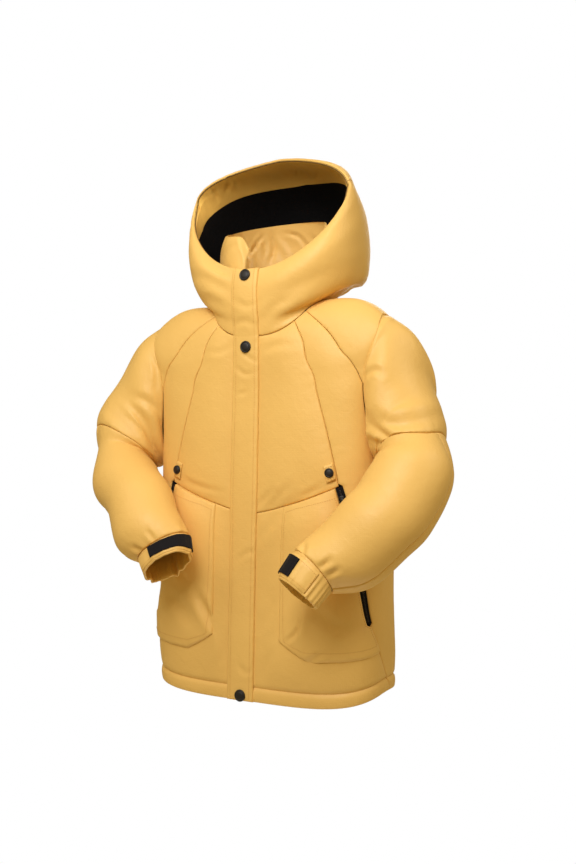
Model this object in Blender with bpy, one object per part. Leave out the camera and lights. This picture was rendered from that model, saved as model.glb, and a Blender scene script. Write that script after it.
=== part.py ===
"""A hooded, padded winter coat for a child, filled out as if worn, built from the pieces a maker would cut.

Every piece is a closed wall of cloth and wadding. The torso and the hood are lofts through rings, whose sizes
stand in the tables below. The sleeves are lofts through rings along a bent arm. A piece is the stretch of such
a loft between its seams, and what lies on a piece is made from that piece's own points, moved out.

Sizes are in millimetres and are turned into metres where the meshes are made. +Z is up, +X is the wearer's
left and -Y the front. The origin lies midway between the shoulders, at the height of the side of the neck.
"""

import math

import bpy
import numpy as np

MM = 0.001


def table(columns, *rows):
    """A table as a dict of arrays, one for each named column."""
    return dict(zip(columns.split(), np.array(rows, float).T))


# Cloth and clearances
SEAM_GAP = 0.2  # how far each piece stops short of its seam line
LAYER_GAP = 0.35  # between a piece and what is laid on it
FLAT = 1.5  # half the wall where shell, wadding and lining are stitched flat
TORSO_PUFF = 5.0  # how far the wadding lifts the shell in the middle of a chest, lower front or back piece
SIDE_PUFF = 2.5
SHOULDER_PUFF = 3.0
SLEEVE_PUFF = 4.5
HOOD_PUFF = 3.5
COLLAR_PUFF = 1.5
POCKET_PUFF = 8.0
HEM_PUFF = 1.2  # the narrow tube between the hem's edge and its stitch line
PUFF_REACH = 45.0  # the distance from a seam at which the wadding is at its full height
POCKET_REACH = 40.0
COLLAR_REACH = 25.0

# Rings of the torso, from the hem (share 0) up to the neck seam (share 1). Each half of a ring has its own
# squareness, 2 for an ellipse, and its own bend, which says how its height runs from the side to the middle.
RING = (
    "share z_front z_side z_back half_width y_front y_side y_back "
    "square_front square_back bend_front bend_back"
)
TORSO = table(
    RING,
    (0.00, -579, -562, -570, 177, -93, 3, 84, 3.8, 2.5, 2.0, 2.0),
    (0.15, -494, -482, -488, 177, -90, 0, 83, 3.8, 2.5, 2.0, 2.0),
    (0.35, -383, -372, -376, 176, -86, -4, 82, 3.9, 2.5, 2.0, 2.0),
    (0.55, -272, -245, -256, 174, -82, -9, 80, 4.0, 2.5, 2.0, 2.0),
    (0.70, -195, -158, -175, 177, -79, -17, 77, 3.7, 2.5, 2.0, 2.0),
    (0.82, -138, -90, -108, 183, -77, -26, 73, 3.3, 2.5, 2.0, 2.0),
    (0.90, -102, -46, -52, 186, -77, -32, 68, 2.8, 2.4, 2.0, 2.0),
    (0.95, -80, -18, -16, 147, -77, -24, 65, 2.6, 2.2, 2.2, 2.0),
    (1.00, -62, -11, 6, 85, -77, -14, 61, 2.8, 2.0, 2.6, 2.0),
)
# Rings of the hood, from just above the neck seam up to the rim (share 1). Each passes through a front, a side
# and a back point. Squareness is 2 for an ellipse, and a bend over 1 holds the back half forward at its sides.
HOOD = table(
    "share y_front z_front half_width y_side z_side y_back z_back square_front square_back bend_back",
    (0.08, -79, -44, 100, 0, 10, 94, 10, 2.1, 2.4, 1.0),
    (0.18, -81, -31, 116, 6, 18, 115, 13, 2.1, 2.6, 1.0),
    (0.35, -82, -14, 128, 0, 46, 136, 52, 2.1, 2.4, 1.0),
    (0.55, -82, 6, 132, -8, 86, 139, 110, 2.1, 2.1, 1.0),
    (0.75, -80, 20, 132, -16, 120, 112, 172, 2.1, 1.8, 1.2),
    (0.90, -78, 30, 132, -23, 140, 58, 208, 2.1, 1.7, 1.6),
    (1.00, -77, 34, 130, -27, 149, 4, 208, 2.1, 1.6, 2.0),
)
GUSSET = table("share angle", (0.0, 152.0), (0.4, 141.0), (0.75, 119.0), (1.0, 98.0))

# Seams of a torso half, as the angle in degrees from the centre front at a share of the way up.
PRINCESS = table(
    "share angle",
    (0.538, 64.3),
    (0.62, 63.8),
    (0.72, 63.6),
    (0.80, 64.0),
    (0.88, 64.8),
    (0.94, 59.8),
    (1.00, 50.5),
)
ZIP_LINE = table(
    "share angle",
    (0.00, 90.5),
    (0.06, 85.0),
    (0.12, 79.5),
    (0.19, 74.0),
    (0.29, 70.8),
    (0.40, 68.0),
    (0.538, 64.3),
)
RAGLAN = table(
    "share angle",
    (0.782, 77.4),
    (0.83, 76.6),
    (0.88, 75.7),
    (0.92, 73.2),
    (0.96, 68.0),
    (1.00, 61.5),
)
YOKE = table("angle share", (0, 0.470), (30, 0.488), (48, 0.508), (64.3, 0.538))
BACK_RAGLAN = 122.0  # the angle at which the back raglan seam reaches the neck
POCKET_SEAM = table("share angle", (0.00, 31.0), (0.16, 31.8), (0.33, 33.6), (0.538, 36.5))

# The armhole is a loop in angle and share.
ARMHOLE_TOP = 0.912
ARMHOLE_BOTTOM = 0.535
ARMHOLE_FRONT = 76.9
ARMHOLE_MIDDLE = 92.0
ARMHOLE_BACK = 112.0

HEM_STITCH = 0.036  # share of the stitch line that closes the hem
POCKET_BOTTOM = 0.114  # share of the pocket's lower edge
POCKET_CORNER = 0.160  # share at which the pocket's slanted corner leaves its inner seam
YOKE_END = YOKE["share"][-1]
BELOW_YOKE = 0.02  # how far the row below the slanted yoke seam drops where the seam is lowest

# The grids of the torso's pieces
LOW_SHARES = np.array([0.0, 0.018, HEM_STITCH, 0.056, POCKET_BOTTOM, 0.180, 0.194, 0.27, 0.36, 0.45])
ZIP_END = 6  # the row at which the pocket zip begins
HIGH_SHARES = np.array([0.552, 0.60, 0.65, 0.70, 0.75, 0.80, 0.85, 0.89, 0.93, 0.965, 1.0])
TURN_STEP = 18.0  # the sleeve's columns and the armhole's points stand this far apart
ARMHOLE_TURNS = np.arange(180.0, 71.0, -TURN_STEP)  # from under the arm to the raglan seam
SHOULDER_TURNS = np.arange(72.0, -73.0, -TURN_STEP)
RAGLAN_SHARES = np.array([0.83, 0.88, 0.92, 0.955, 1.0])
SIDE_SEAM_HEM = 107.0  # the side seam's angle at the hem
SIDE_WAYS = np.array([0, 0.2, 0.5, 0.8, 1.0])
BACK_WAYS = np.array([0, 0.05, 0.13, 0.24, 0.37, 0.5, 0.63, 0.76, 0.87, 0.95, 1.0])

# Closure
ZIP_HALF = 6.0  # half the opening at the centre front, which the front zip fills
FLAP_LEFT = 12.5  # the storm flap's stitched edge, on the wearer's left
FLAP_RIGHT = -30.0  # its free edge
FLAP_THICK = 3.0
POCKET_ZIP_HALF = 5.0
POCKET_ZIP_CLEAR = 0.4
ZIP_THICK = 2.4
ZIP_TAPE_HALF = 5.7
POCKET_EDGE = 2.4  # the pocket's thickness at its seams
POCKET_CLEAR = 0.6
SNAP_SIDES = 20
SNAP_RADIUS = 8.5
SNAP_THICK = 3.2
SNAP_RIM = 0.55  # the height of a snap's rim and the radius of its flat top, as shares
SNAP_TOP = 0.86
TAB_SNAP_RADIUS = 6.5
SNAP_ROWS = (0.8, 19.8, 29.6)  # rows of the flap at which its snaps stand
SNAP_COLUMN = 0.56
CHEST_TAB_ROWS = np.array([1.1, 2.0])
CHEST_TAB_COLUMNS = np.array([5.6, 5.97])
CHEST_TAB_OUT = np.array([1.6, 0.1])  # how far its free lower end and its stitched end stand off

# The arms: where the outer line and the inner line of each sleeve pass, and half its size across them.
ARM = "along x_out y_out z_out x_in y_in z_in half_across"
LEFT_ARM = table(
    ARM,
    (0.05, 209, -27, -55, 185, -16, -252, 56),
    (0.16, 234, -27, -118, 191, -27, -250, 58),
    (0.34, 272, -37, -190, 190, -48, -244, 55),
    (0.48, 292, -45, -264, 192, -87, -236, 53),
    (0.60, 276, -81, -325, 180, -106, -270, 53),
    (0.72, 252, -108, -358, 168, -118, -287, 52),
    (0.87, 211, -131, -398, 137, -135, -327, 48),
    (1.00, 172, -157, -407, 112, -162, -351, 38),
)
RIGHT_ARM = table(
    ARM,
    (0.05, 216, -33, -54, 184, -14, -252, 56),
    (0.16, 259, -38, -114, 189, -25, -251, 57),
    (0.34, 284, -78, -190, 188, -42, -250, 55),
    (0.48, 267, -76, -262, 187, -66, -234, 52),
    (0.60, 238, -104, -314, 172, -96, -240, 51),
    (0.72, 204, -138, -330, 130, -104, -273, 49),
    (0.87, 172, -149, -377, 96, -139, -307, 46),
    (1.00, 142, -151, -388, 66, -145, -336, 40),
)
ELBOW_SEAM = 0.34  # how far along the arm the upper sleeve ends
SLEEVE_IN = 5.0  # how far the seams lie inside the filled-out sleeve's outline
ARMHOLE_LIFT = 5.5  # how far the sleeve stands off the torso under the arm
CUFF_LENGTH = 36.0
SLEEVE_FOLDS = table(
    "turn along turn_wide along_wide depth",
    (150, 0.15, 40, 0.05, 3.5),
    (165, 0.34, 45, 0.07, 4.0),
    (120, 0.42, 45, 0.04, 3.0),
    (190, 0.50, 35, 0.04, 4.0),
    (60, 0.24, 30, 0.03, 1.5),
)
FOREARM_ALONG = np.array([ELBOW_SEAM, 0.385, 0.44, 0.50, 0.56, 0.62, 0.70, 0.79, 0.88, 0.96, 1.0])
UPPER_ALONG = np.array([0.0, 0.03, 0.08, 0.14, 0.20, 0.25, 0.30, ELBOW_SEAM])
UNDER_SEAM = 18.0  # the turn of the seam along the forearm
HIDDEN_SEAM = -72.0
CUFF_COLUMNS = 36
CUFF_CLIMB = np.array([0.03, 0.10, 0.20, 0.84, 0.93, 1.0])
CUFF_WAY = {"L": (-0.42, -0.47, -0.78), "R": (-0.56, -0.49, -0.66)}
CUFF_TURN = 0.75  # how much of the way the cuff's open end turns from the wrist seam's plane to square across
CUFF_TAPER = (0.05, 0.09)  # how much it narrows, at the wrist seam and on from there to the open end
GATHER = 1.5
GATHER_ROWS = np.array([0.3, 1.0, 1.0, 1.0, 1.0, 0.7])
TAB_COLUMNS = {"L": (7, 25), "R": (5, 24)}  # the columns of the cuff under its strap, ten degrees apart
PATCH_COLUMNS = {"L": (12, 23), "R": (9, 22)}
TAB_ROWS = (1, 5)
PATCH_ROWS = (2, 4)
TAB_THICK = 2.2
PATCH_THICK = 1.6

# The hood and the collar inside it
HOOD_SHARES = np.array([0, 0.04, 0.09, 0.18, 0.28, 0.40, 0.52, 0.64, 0.75, 0.84, 0.92, 1.0])
# How far the hood's lower edge stands above the torso's neck edge, round half of the neck.
NECK_RISE = table("angle rise", (0, 0.6), (15, 1.0), (35, 3.0), (60, 5.0), (180, 4.2))
NECK_DEPTHS = TORSO["y_side"][-1] - TORSO["y_front"][-1], TORSO["y_back"][-1] - TORSO["y_side"][-1]
HOOD_SIDE_WAYS = np.array([0.12, 0.27, 0.42, 0.57, 0.72, 0.87, 1.0])
GUSSET_WAYS = np.array([0.0, 0.14, 0.32, 0.5, 0.68, 0.86, 1.0])
# Where the yellow facing inside the rim ends and the dark lining begins, round half of the hood.
FACING_EDGE = table("angle share", (0, 0.36), (45, 0.42), (75, 0.60), (90, 0.69), (120, 0.79), (180, 0.82))
LINING_THICK = 1.2
LINING_CLEAR = 3.0  # between the shell and the layer inside it
RIM_CLEAR = 0.5  # the same at the rim
LINING_LOW = 0.03
COLLAR = table(
    RING,
    (0.0, -54, -2, 12, 76, -67, -12, 56, 2.1, 2.1, 2.4, 2.0),
    (0.5, 15, 48, 62, 83, -71, -11, 60, 2.1, 2.1, 1.8, 1.6),
    (1.0, 84, 100, 120, 86, -74, -10, 60, 2.1, 2.1, 1.2, 1.0),
)
COLLAR_ANGLES = np.array(
    [28.0, 42, 60, 75, 90, 104, 118, 135, 155, 180, 205, 225, 245, 265, 285, 305, 322, 334, 346]
)
COLLAR_CLIMB = np.array([0.0, 0.25, 0.5, 0.75, 1.0])
# How high the collar stands, as a share of its full height: the wearer's left front hangs open and low.
COLLAR_TOP = table(
    "angle share",
    (28, 0.52),
    (60, 0.66),
    (90, 0.84),
    (118, 1.00),
    (180, 1.00),
    (240, 1.00),
    (300, 1.00),
    (334, 0.99),
    (346, 0.86),
)

YELLOW = (0.76, 0.44, 0.10)
INK = (0.012, 0.011, 0.013)
CHARCOAL = (0.018, 0.016, 0.020)
CUT_WAY = np.array([0.4, 0.6, 1.0])  # a slanted direction that tells the two ends of any seam edge apart


def curve(knots, values, at):
    """A smooth curve through the values at the knots, read where asked."""
    values = np.asarray(values, float)
    slopes = np.gradient(values, knots, axis=0)
    at = np.clip(at, knots[0], knots[-1])
    low = np.clip(np.searchsorted(knots, at, side="right") - 1, 0, len(knots) - 2)
    step = knots[low + 1] - knots[low]
    t = (at - knots[low]) / step
    if values.ndim > 1:
        t = t[..., None]
        step = step[..., None]
    ease = t * t * (3 - 2 * t)
    start = t * (1 - t) ** 2 * step
    end = t * t * (t - 1) * step
    return values[low] * (1 - ease) + values[low + 1] * ease + slopes[low] * start + slopes[low + 1] * end


def loft(rings, angle, share):
    """Points of a loft: the angle, in degrees, runs from the centre front towards the wearer's left."""
    angle, share = np.broadcast_arrays(np.radians(np.asarray(angle, float)), np.asarray(share, float))
    at = {name: curve(rings["share"], values, share) for name, values in rings.items() if name != "share"}
    cosine = np.cos(angle)
    forward = cosine > 0
    depth = np.where(forward, at["y_side"] - at["y_front"], at["y_back"] - at["y_side"])
    power = np.where(forward, at["square_front"], at["square_back"])
    bend = np.where(forward, at["bend_front"], at["bend_back"])
    radius = (
        (np.abs(np.sin(angle)) / at["half_width"]) ** power + (np.abs(cosine) / depth) ** power
    ) ** (-1 / power)
    rise = np.where(forward, at["z_front"], at["z_back"]) - at["z_side"]
    z = at["z_side"] + rise * (radius * np.abs(cosine) / depth) ** bend
    return np.stack([radius * np.sin(angle), at["y_side"] - radius * cosine, z], axis=-1)


def unit(vectors):
    return vectors / np.maximum(np.linalg.norm(vectors, axis=-1, keepdims=True), 1e-12)


def loft_normal(rings, angle, share):
    """The direction straight out of a loft."""
    near = np.clip(share, 0.004, 0.996)
    across = loft(rings, angle + 0.4, near) - loft(rings, angle - 0.4, near)
    up = loft(rings, angle, near + 0.004) - loft(rings, angle, near - 0.004)
    return unit(np.cross(across, up))


def armhole(turn):
    """Angle and share of the armhole: 0 at the shoulder, 90 in front, 180 under the arm, 270 behind."""
    turn = np.radians(turn)
    sine = np.sin(turn)
    reach = np.where(sine > 0, ARMHOLE_MIDDLE - ARMHOLE_FRONT, ARMHOLE_BACK - ARMHOLE_MIDDLE)
    middle = (ARMHOLE_TOP + ARMHOLE_BOTTOM) / 2
    angle = ARMHOLE_MIDDLE - reach * np.sign(sine) * np.abs(sine) ** 0.8
    return angle, middle + (ARMHOLE_TOP - middle) * np.cos(turn)


def sleeve(arm, turn, along):
    """Points of a sleeve: the turn as on the armhole, and how far along the arm, 0 to 1."""
    turn, along = np.broadcast_arrays(np.asarray(turn, float), np.asarray(along, float))
    outer = np.stack([arm["x_out"], arm["y_out"], arm["z_out"]], axis=-1)
    inner = np.stack([arm["x_in"], arm["y_in"], arm["z_in"]], axis=-1)
    centre = (outer + inner) / 2
    half = (outer - inner) / 2
    half -= unit(half) * SLEEVE_IN
    path = np.gradient(centre, arm["along"], axis=0)
    across = unit(np.cross(path, half)) * (arm["half_across"][:, None] - SLEEVE_IN)
    cosine = np.cos(np.radians(turn))[..., None]
    sine = np.sin(np.radians(turn))[..., None]
    hole = armhole(turn)
    rings = [loft(TORSO, *hole) + loft_normal(TORSO, *hole) * ARMHOLE_LIFT * (1 - cosine) / 2]
    rings += [c + h * cosine + a * sine for c, h, a in zip(centre, half, across)]
    return through(np.stack(rings), np.append(0.0, arm["along"]), along)


def through(rings, knots, at):
    """A smooth run through rings of points, one ring for each knot, read at a share for each point."""
    slopes = np.gradient(rings, knots, axis=0)
    low = np.clip(np.searchsorted(knots, at, side="right") - 1, 0, len(knots) - 2)
    step = (knots[low + 1] - knots[low])[..., None]
    t = (at - knots[low])[..., None] / step
    ease = t * t * (3 - 2 * t)
    take = np.indices(at.shape)
    p0, p1 = rings[(low, *take)], rings[(low + 1, *take)]
    m0, m1 = slopes[(low, *take)], slopes[(low + 1, *take)]
    return p0 * (1 - ease) + p1 * ease + m0 * step * t * (1 - t) ** 2 + m1 * step * t * t * (t - 1)


def arm_centre(arm):
    """The middle of each of an arm's rings."""
    return np.stack([(arm[axis + "_out"] + arm[axis + "_in"]) / 2 for axis in "xyz"], axis=-1)


# The pieces. Each is a dict: its grid of points, the way out at each point, how far its outer and inner faces
# lie from the points along that way, and the lowest layer's points, which say how each square is cut in two.


def piece(points, normals, outer, inner=FLAT, base=None):
    outer = np.broadcast_to(outer, points.shape[:-1]).astype(float)
    inner = np.broadcast_to(inner, points.shape[:-1]).astype(float)
    base = points if base is None else base
    return {"points": points, "normals": normals, "outer": outer, "inner": inner, "base": base}


def distance(points, axis, start):
    """How far each point of a grid lies from a row or a column of it, and 0 on the other side of it."""
    steps = np.linalg.norm(np.diff(points, axis=axis), axis=-1)
    zero = np.zeros_like(np.take(steps, [0], axis))
    run = np.concatenate([zero, np.cumsum(steps, axis)], axis)
    return run - np.take(run, [start], axis)


def swell(points, height, rows=(0, -1), columns=(0, -1), reach=PUFF_REACH):
    """How far wadding lifts a piece: nothing at its seams, the full height well away from all of them."""
    ends = (
        distance(points, 0, rows[0]),
        -distance(points, 0, rows[1]),
        distance(points, 1, columns[0]),
        -distance(points, 1, columns[1]),
    )
    lift = np.full(points.shape[:-1], float(height))
    for end in ends:
        lift *= 1 - (1 - np.clip(end / reach, 0, 1)) ** 2
    return lift


def step_in(edge, inward, gap):
    """The move that takes an edge in from its seam line, square to that line."""
    along = unit(np.gradient(edge, axis=0))
    way = inward - edge
    return gap * unit(way - along * (way * along).sum(axis=-1, keepdims=True))


def draw_in(points, gap=SEAM_GAP, sides="bottom top left right"):
    """The grid with its edges moved in from their seam lines."""
    moved = points.copy()
    if "bottom" in sides:
        moved[0] += step_in(points[0], points[1], gap)
    if "top" in sides:
        moved[-1] += step_in(points[-1], points[-2], gap)
    if "left" in sides:
        moved[:, 0] += step_in(points[:, 0], points[:, 1], gap)
    if "right" in sides:
        moved[:, -1] += step_in(points[:, -1], points[:, -2], gap)
    return moved


def layered(below, rows, columns, thick, gap=LAYER_GAP):
    """A piece laid on another: a stretch of its points, moved out past its outer face."""
    cut = (slice(*rows), slice(*columns))
    lift = (below["outer"][cut] + gap)[..., None]
    normals = below["normals"][cut]
    return piece(below["points"][cut] + normals * lift, normals, thick, 0.0, below["base"][cut])


def mirrored(one):
    """The same piece on the wearer's right, its columns in the same order round the coat."""
    flip = {"points": (-1, 1, 1), "normals": (-1, 1, 1), "base": (-1, 1, 1)}
    return {key: values[:, ::-1] * flip.get(key, 1) for key, values in one.items()}


# Seams of the torso's left half, as rows of (angle, share), and the pieces between them


def pairs(angle, share):
    return np.stack(np.broadcast_arrays(angle, share), axis=-1)


def seam(line, shares):
    return pairs(curve(line["share"], line["angle"], shares), shares)


def side_seam():
    shares = np.append(LOW_SHARES, ARMHOLE_BOTTOM)
    return pairs(SIDE_SEAM_HEM + (ARMHOLE_MIDDLE - SIDE_SEAM_HEM) * shares / ARMHOLE_BOTTOM, shares)


def front_outer_edge():
    """From the hem up the side seam, the front of the armhole and the raglan seam to the neck."""
    hole = pairs(*armhole(ARMHOLE_TURNS[1:]))
    return np.concatenate([side_seam(), hole, seam(RAGLAN, RAGLAN_SHARES)])


def back_outer_edge():
    """From the hem up the side seam, the back of the armhole and the back raglan seam to the neck."""
    hole = pairs(*armhole(-ARMHOLE_TURNS[1:]))
    start_angle, start_share = hole[-1]
    way = (RAGLAN_SHARES - start_share) / (1 - start_share)
    raglan = pairs(start_angle + (BACK_RAGLAN - start_angle) * way, RAGLAN_SHARES)
    return np.concatenate([side_seam(), hole, raglan])


def front_inner_edge():
    """From the hem up the pocket zip's line and the princess seam to the neck."""
    low = seam(ZIP_LINE, np.append(LOW_SHARES, YOKE_END))
    return np.concatenate([low, seam(PRINCESS, HIGH_SHARES)])


def between(left, right, across):
    """A grid of (angle, share) whose columns lie between two seams."""
    return left[:, None] * (1 - across[None, :, None]) + right[:, None] * across[None, :, None]


def torso_piece(grid, height, rows=(0, -1), columns=(0, -1)):
    points = loft(TORSO, grid[..., 0], grid[..., 1])
    normals = loft_normal(TORSO, grid[..., 0], grid[..., 1])
    outer = FLAT + swell(points, height, rows, columns)
    return piece(draw_in(points), normals, outer)


def hem_tube(one):
    """Fills the narrow tube between the hem's edge and its stitch line."""
    one["outer"][1] += HEM_PUFF
    return one


def front_angle(place, share):
    """The angle at which a column near the centre front stands, from its place along X."""
    depth = curve(TORSO["share"], TORSO["y_side"] - TORSO["y_front"], share)
    return np.degrees(np.arctan2(place, depth))


def front_columns(flap_edge, pocket, right):
    """The angles of a front piece's columns: zip, flap, between, pocket seam, two more, and the outer seam."""
    zip_edge, flap = (front_angle(place, right[:, 1]) for place in (ZIP_HALF, flap_edge))
    outer = right[:, 0]
    inner = flap + (outer - flap) * pocket
    steps = [zip_edge, flap, (flap + inner) / 2, inner]
    return np.stack(steps + [inner + (outer - inner) * way for way in (1 / 3, 2 / 3, 1.0)], axis=1)


def front_centre(flap_edge):
    """The chest piece between the front zip and the princess seam, above the yoke seam."""
    shares = np.append(YOKE_END, HIGH_SHARES)
    angle = front_columns(flap_edge, pocket_share(flap_edge, shares[:1]), seam(PRINCESS, shares))
    climb = ((shares - YOKE_END) / (1 - YOKE_END))[:, None]
    bottom = curve(YOKE["angle"], YOKE["share"], angle[0])
    share = shares[:, None] + (bottom - YOKE_END) * (1 - climb) ** 2
    return torso_piece(pairs(angle, share), TORSO_PUFF, columns=(1, -1))


def pocket_share(flap_edge, shares):
    """Where the pocket seam stands, as a share of the way from the flap's edge to the outer seam."""
    flap = front_angle(flap_edge, shares)
    outer = curve(ZIP_LINE["share"], ZIP_LINE["angle"], shares)
    return (curve(POCKET_SEAM["share"], POCKET_SEAM["angle"], shares) - flap) / (outer - flap)


def front_lower(flap_edge):
    """The piece below the yoke seam, from zip to pocket zip, with the pocket's outline in its grid."""
    shares = np.append(LOW_SHARES, YOKE_END)
    angle = front_columns(flap_edge, pocket_share(flap_edge, shares), seam(ZIP_LINE, shares))
    share = np.repeat(shares[:, None], angle.shape[1], axis=1)
    share[-1] = curve(YOKE["angle"], YOKE["share"], angle[-1])
    share[-2, :4] -= BELOW_YOKE
    share[4, 3] = POCKET_CORNER
    made = torso_piece(pairs(angle, share), TORSO_PUFF, rows=(2, -1), columns=(1, -1))
    return open_for_zip(hem_tube(made), -1, -2)


def open_for_zip(one, edge, inward):
    """Moves a column of the piece back from the pocket zip, which lies between the two pieces."""
    rows = slice(ZIP_END, len(LOW_SHARES) + 1)
    away = unit(one["points"][rows, inward] - one["points"][rows, edge])
    one["points"][rows, edge] += (POCKET_ZIP_HALF + SEAM_GAP) * away
    return one


def front_side():
    """The long side piece, from the hem to the neck, outside the princess seam and the pocket zip."""
    grid = between(front_inner_edge(), front_outer_edge(), SIDE_WAYS)
    made = torso_piece(grid, SIDE_PUFF, rows=(2, -1))
    return open_for_zip(hem_tube(made), 0, 1)


def back():
    """The back, in one piece from side seam to side seam."""
    left = back_outer_edge()
    right = left * (-1, 1) + (360, 0)
    made = torso_piece(between(left, right, BACK_WAYS), TORSO_PUFF, rows=(2, -1))
    return hem_tube(made)


def shoulder():
    """The piece over the shoulder, between the two raglan seams, from the neck to the armhole."""
    left = front_outer_edge()[-len(RAGLAN_SHARES) - 1 :]
    right = back_outer_edge()[-len(RAGLAN_SHARES) - 1 :]
    bottom = pairs(*armhole(SHOULDER_TURNS))
    across = (bottom[:, 0] - bottom[0, 0]) / (bottom[-1, 0] - bottom[0, 0])
    grid = between(left, right, across)
    climb = (left[:, 1] - left[0, 1]) / (1 - left[0, 1])
    grid += (bottom - grid[0])[None] * (1 - climb)[:, None, None]
    return torso_piece(grid, SHOULDER_PUFF)


# The hood


def neck_ring(angle):
    """The hood's lowest ring, which runs along the torso's neck edge."""
    sine, cosine = np.sin(np.radians(angle)), np.cos(np.radians(angle))
    power = 2 / np.where(cosine > 0, TORSO["square_front"][-1], TORSO["square_back"][-1])
    wide = np.sign(sine) * np.abs(sine) ** power * TORSO["half_width"][-1]
    long = np.sign(cosine) * np.abs(cosine) ** power * np.where(cosine > 0, *NECK_DEPTHS)
    rise = curve(NECK_RISE["angle"], NECK_RISE["rise"], 180 - np.abs(angle % 360 - 180))
    points = loft(TORSO, np.degrees(np.arctan2(wide, long)), 1.0)
    points[..., 2] += rise
    return points


def hood_ring(angle, number):
    """A ring of the hood's table: an oval through its front, side and back points, in its own leaning plane."""
    at = {name: values[number] for name, values in HOOD.items()}
    sine, cosine = np.sin(np.radians(angle)), np.cos(np.radians(angle))
    power = 2 / np.where(cosine > 0, at["square_front"], at["square_back"])
    wide = np.sign(sine) * np.abs(sine) ** power
    long = np.sign(cosine) * np.abs(cosine) ** power
    found = [wide * at["half_width"]]
    for axis in "yz":
        front, side, back_ = (at[axis + end] for end in ("_front", "_side", "_back"))
        middle = (front + back_) / 2
        reach = np.where(cosine < 0, -np.abs(long) ** at["bend_back"], long) if axis == "y" else long
        found.append(middle + (front - middle) * reach + (side - middle) * wide**2)
    return np.stack(found, axis=-1)


def hood(angle, share):
    """Points of the hood: the angle runs from the centre front, the share from the neck seam to the rim."""
    angle, share = np.broadcast_arrays(np.asarray(angle, float), np.asarray(share, float))
    rings = np.stack([neck_ring(angle)] + [hood_ring(angle, number) for number in range(len(HOOD["share"]))])
    knots = np.append(0.0, HOOD["share"])
    return through(rings, knots, share)


def hood_normal(angle, share):
    near = np.clip(share, 0.004, 0.996)
    across = hood(angle + 0.5, near) - hood(angle - 0.5, near)
    up = hood(angle, near + 0.004) - hood(angle, near - 0.004)
    return unit(np.cross(across, up))


def hood_front_angle(place, share):
    """The angle at which a column near the centre front stands, from its place along X."""
    knots = np.append(0.0, HOOD["share"])
    width = np.append(TORSO["half_width"][-1], HOOD["half_width"])
    square = np.append(TORSO["square_front"][-1], HOOD["square_front"])
    ratio = place / curve(knots, width, share)
    return np.degrees(np.arcsin(ratio ** (curve(knots, square, share) / 2)))


def hood_side_angles(flap_edge, share):
    """The columns of the side piece: the zip's edge, the flap's edge, and on to the seam along the crown."""
    zip_edge, flap = (hood_front_angle(place, share) for place in (ZIP_HALF, flap_edge))
    crown = curve(GUSSET["share"], GUSSET["angle"], share)
    return np.stack([zip_edge, flap] + [flap + (crown - flap) * way for way in HOOD_SIDE_WAYS], axis=-1)


def gusset_angles(share):
    crown = curve(GUSSET["share"], GUSSET["angle"], share)
    return np.stack([crown + (360 - 2 * crown) * way for way in GUSSET_WAYS], axis=-1)


def hood_piece(angles, columns=(0, -1)):
    shares = np.broadcast_to(HOOD_SHARES[:, None], angles.shape)
    points = hood(angles, shares)
    outer = FLAT + swell(points, HOOD_PUFF, columns=columns)
    return piece(draw_in(points), hood_normal(angles, shares), outer)


def hood_side(flap_edge):
    """The side of the hood, from the front zip to the seam along the crown."""
    return hood_piece(hood_side_angles(flap_edge, HOOD_SHARES), columns=(1, -1))


def hood_centre():
    """The gusset over the crown and down the back of the hood."""
    return hood_piece(gusset_angles(HOOD_SHARES))


def hood_layer(ways, from_edge):
    """A thin layer inside the whole hood, above or below the facing's edge, on the shell's own columns."""
    places = (-FLAP_RIGHT, FLAP_LEFT)
    left = hood_side_angles(places[1], np.array([0.8]))[0]
    middle = gusset_angles(np.array([0.8]))[0, 1:-1]
    right = 360 - hood_side_angles(places[0], np.array([0.8]))[0][::-1]
    rough = np.concatenate([left, middle, right])
    edge = curve(FACING_EDGE["angle"], FACING_EDGE["share"], 180 - np.abs(rough - 180))
    end = 1.0 if from_edge else LINING_LOW
    shares = edge + (end - edge) * ways[:, None]
    if not from_edge:
        shares = shares[::-1]
    angles = np.empty(shares.shape)
    for column in range(len(rough)):
        share = shares[:, column]
        if column < len(left):
            angles[:, column] = hood_side_angles(places[1], share)[:, column]
        elif column < len(left) + len(middle):
            angles[:, column] = gusset_angles(share)[:, column - len(left) + 1]
        else:
            angles[:, column] = 360 - hood_side_angles(places[0], share)[:, len(rough) - 1 - column]
    normals = hood_normal(angles, shares)
    clear = RIM_CLEAR + (LINING_CLEAR - RIM_CLEAR) * np.clip((1 - shares) / 0.1, 0, 1)
    points = hood(angles, shares) - normals * (FLAT + clear)[..., None]
    return piece(draw_in(points), normals, 0.0, LINING_THICK)


def hood_facing():
    return hood_layer(np.array([0.0, 0.25, 0.5, 0.75, 1.0]), True)


def hood_lining():
    return hood_layer(np.linspace(0, 1, 8), False)


def inner_collar():
    """The stand-up collar inside the hood, open at the front."""
    top = curve(COLLAR_TOP["angle"], COLLAR_TOP["share"], COLLAR_ANGLES)
    share = COLLAR_CLIMB[:, None] * top[None, :]
    angle = np.broadcast_to(COLLAR_ANGLES, share.shape)
    points = loft(COLLAR, angle, share)
    outer = FLAT + swell(points, COLLAR_PUFF, reach=COLLAR_REACH)
    return piece(points, loft_normal(COLLAR, angle, share), outer)


# The sleeves


def folds(turn, along):
    """How far the sleeve's folds draw its outer face in."""
    depth = np.zeros(np.broadcast(turn, along).shape)
    for t, a, wide, long, deep in zip(*(SLEEVE_FOLDS[name] for name in SLEEVE_FOLDS)):
        off = (turn - t + 180) % 360 - 180
        depth += deep * np.exp(-((off / wide) ** 2) - ((along - a) / long) ** 2)
    return depth


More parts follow.
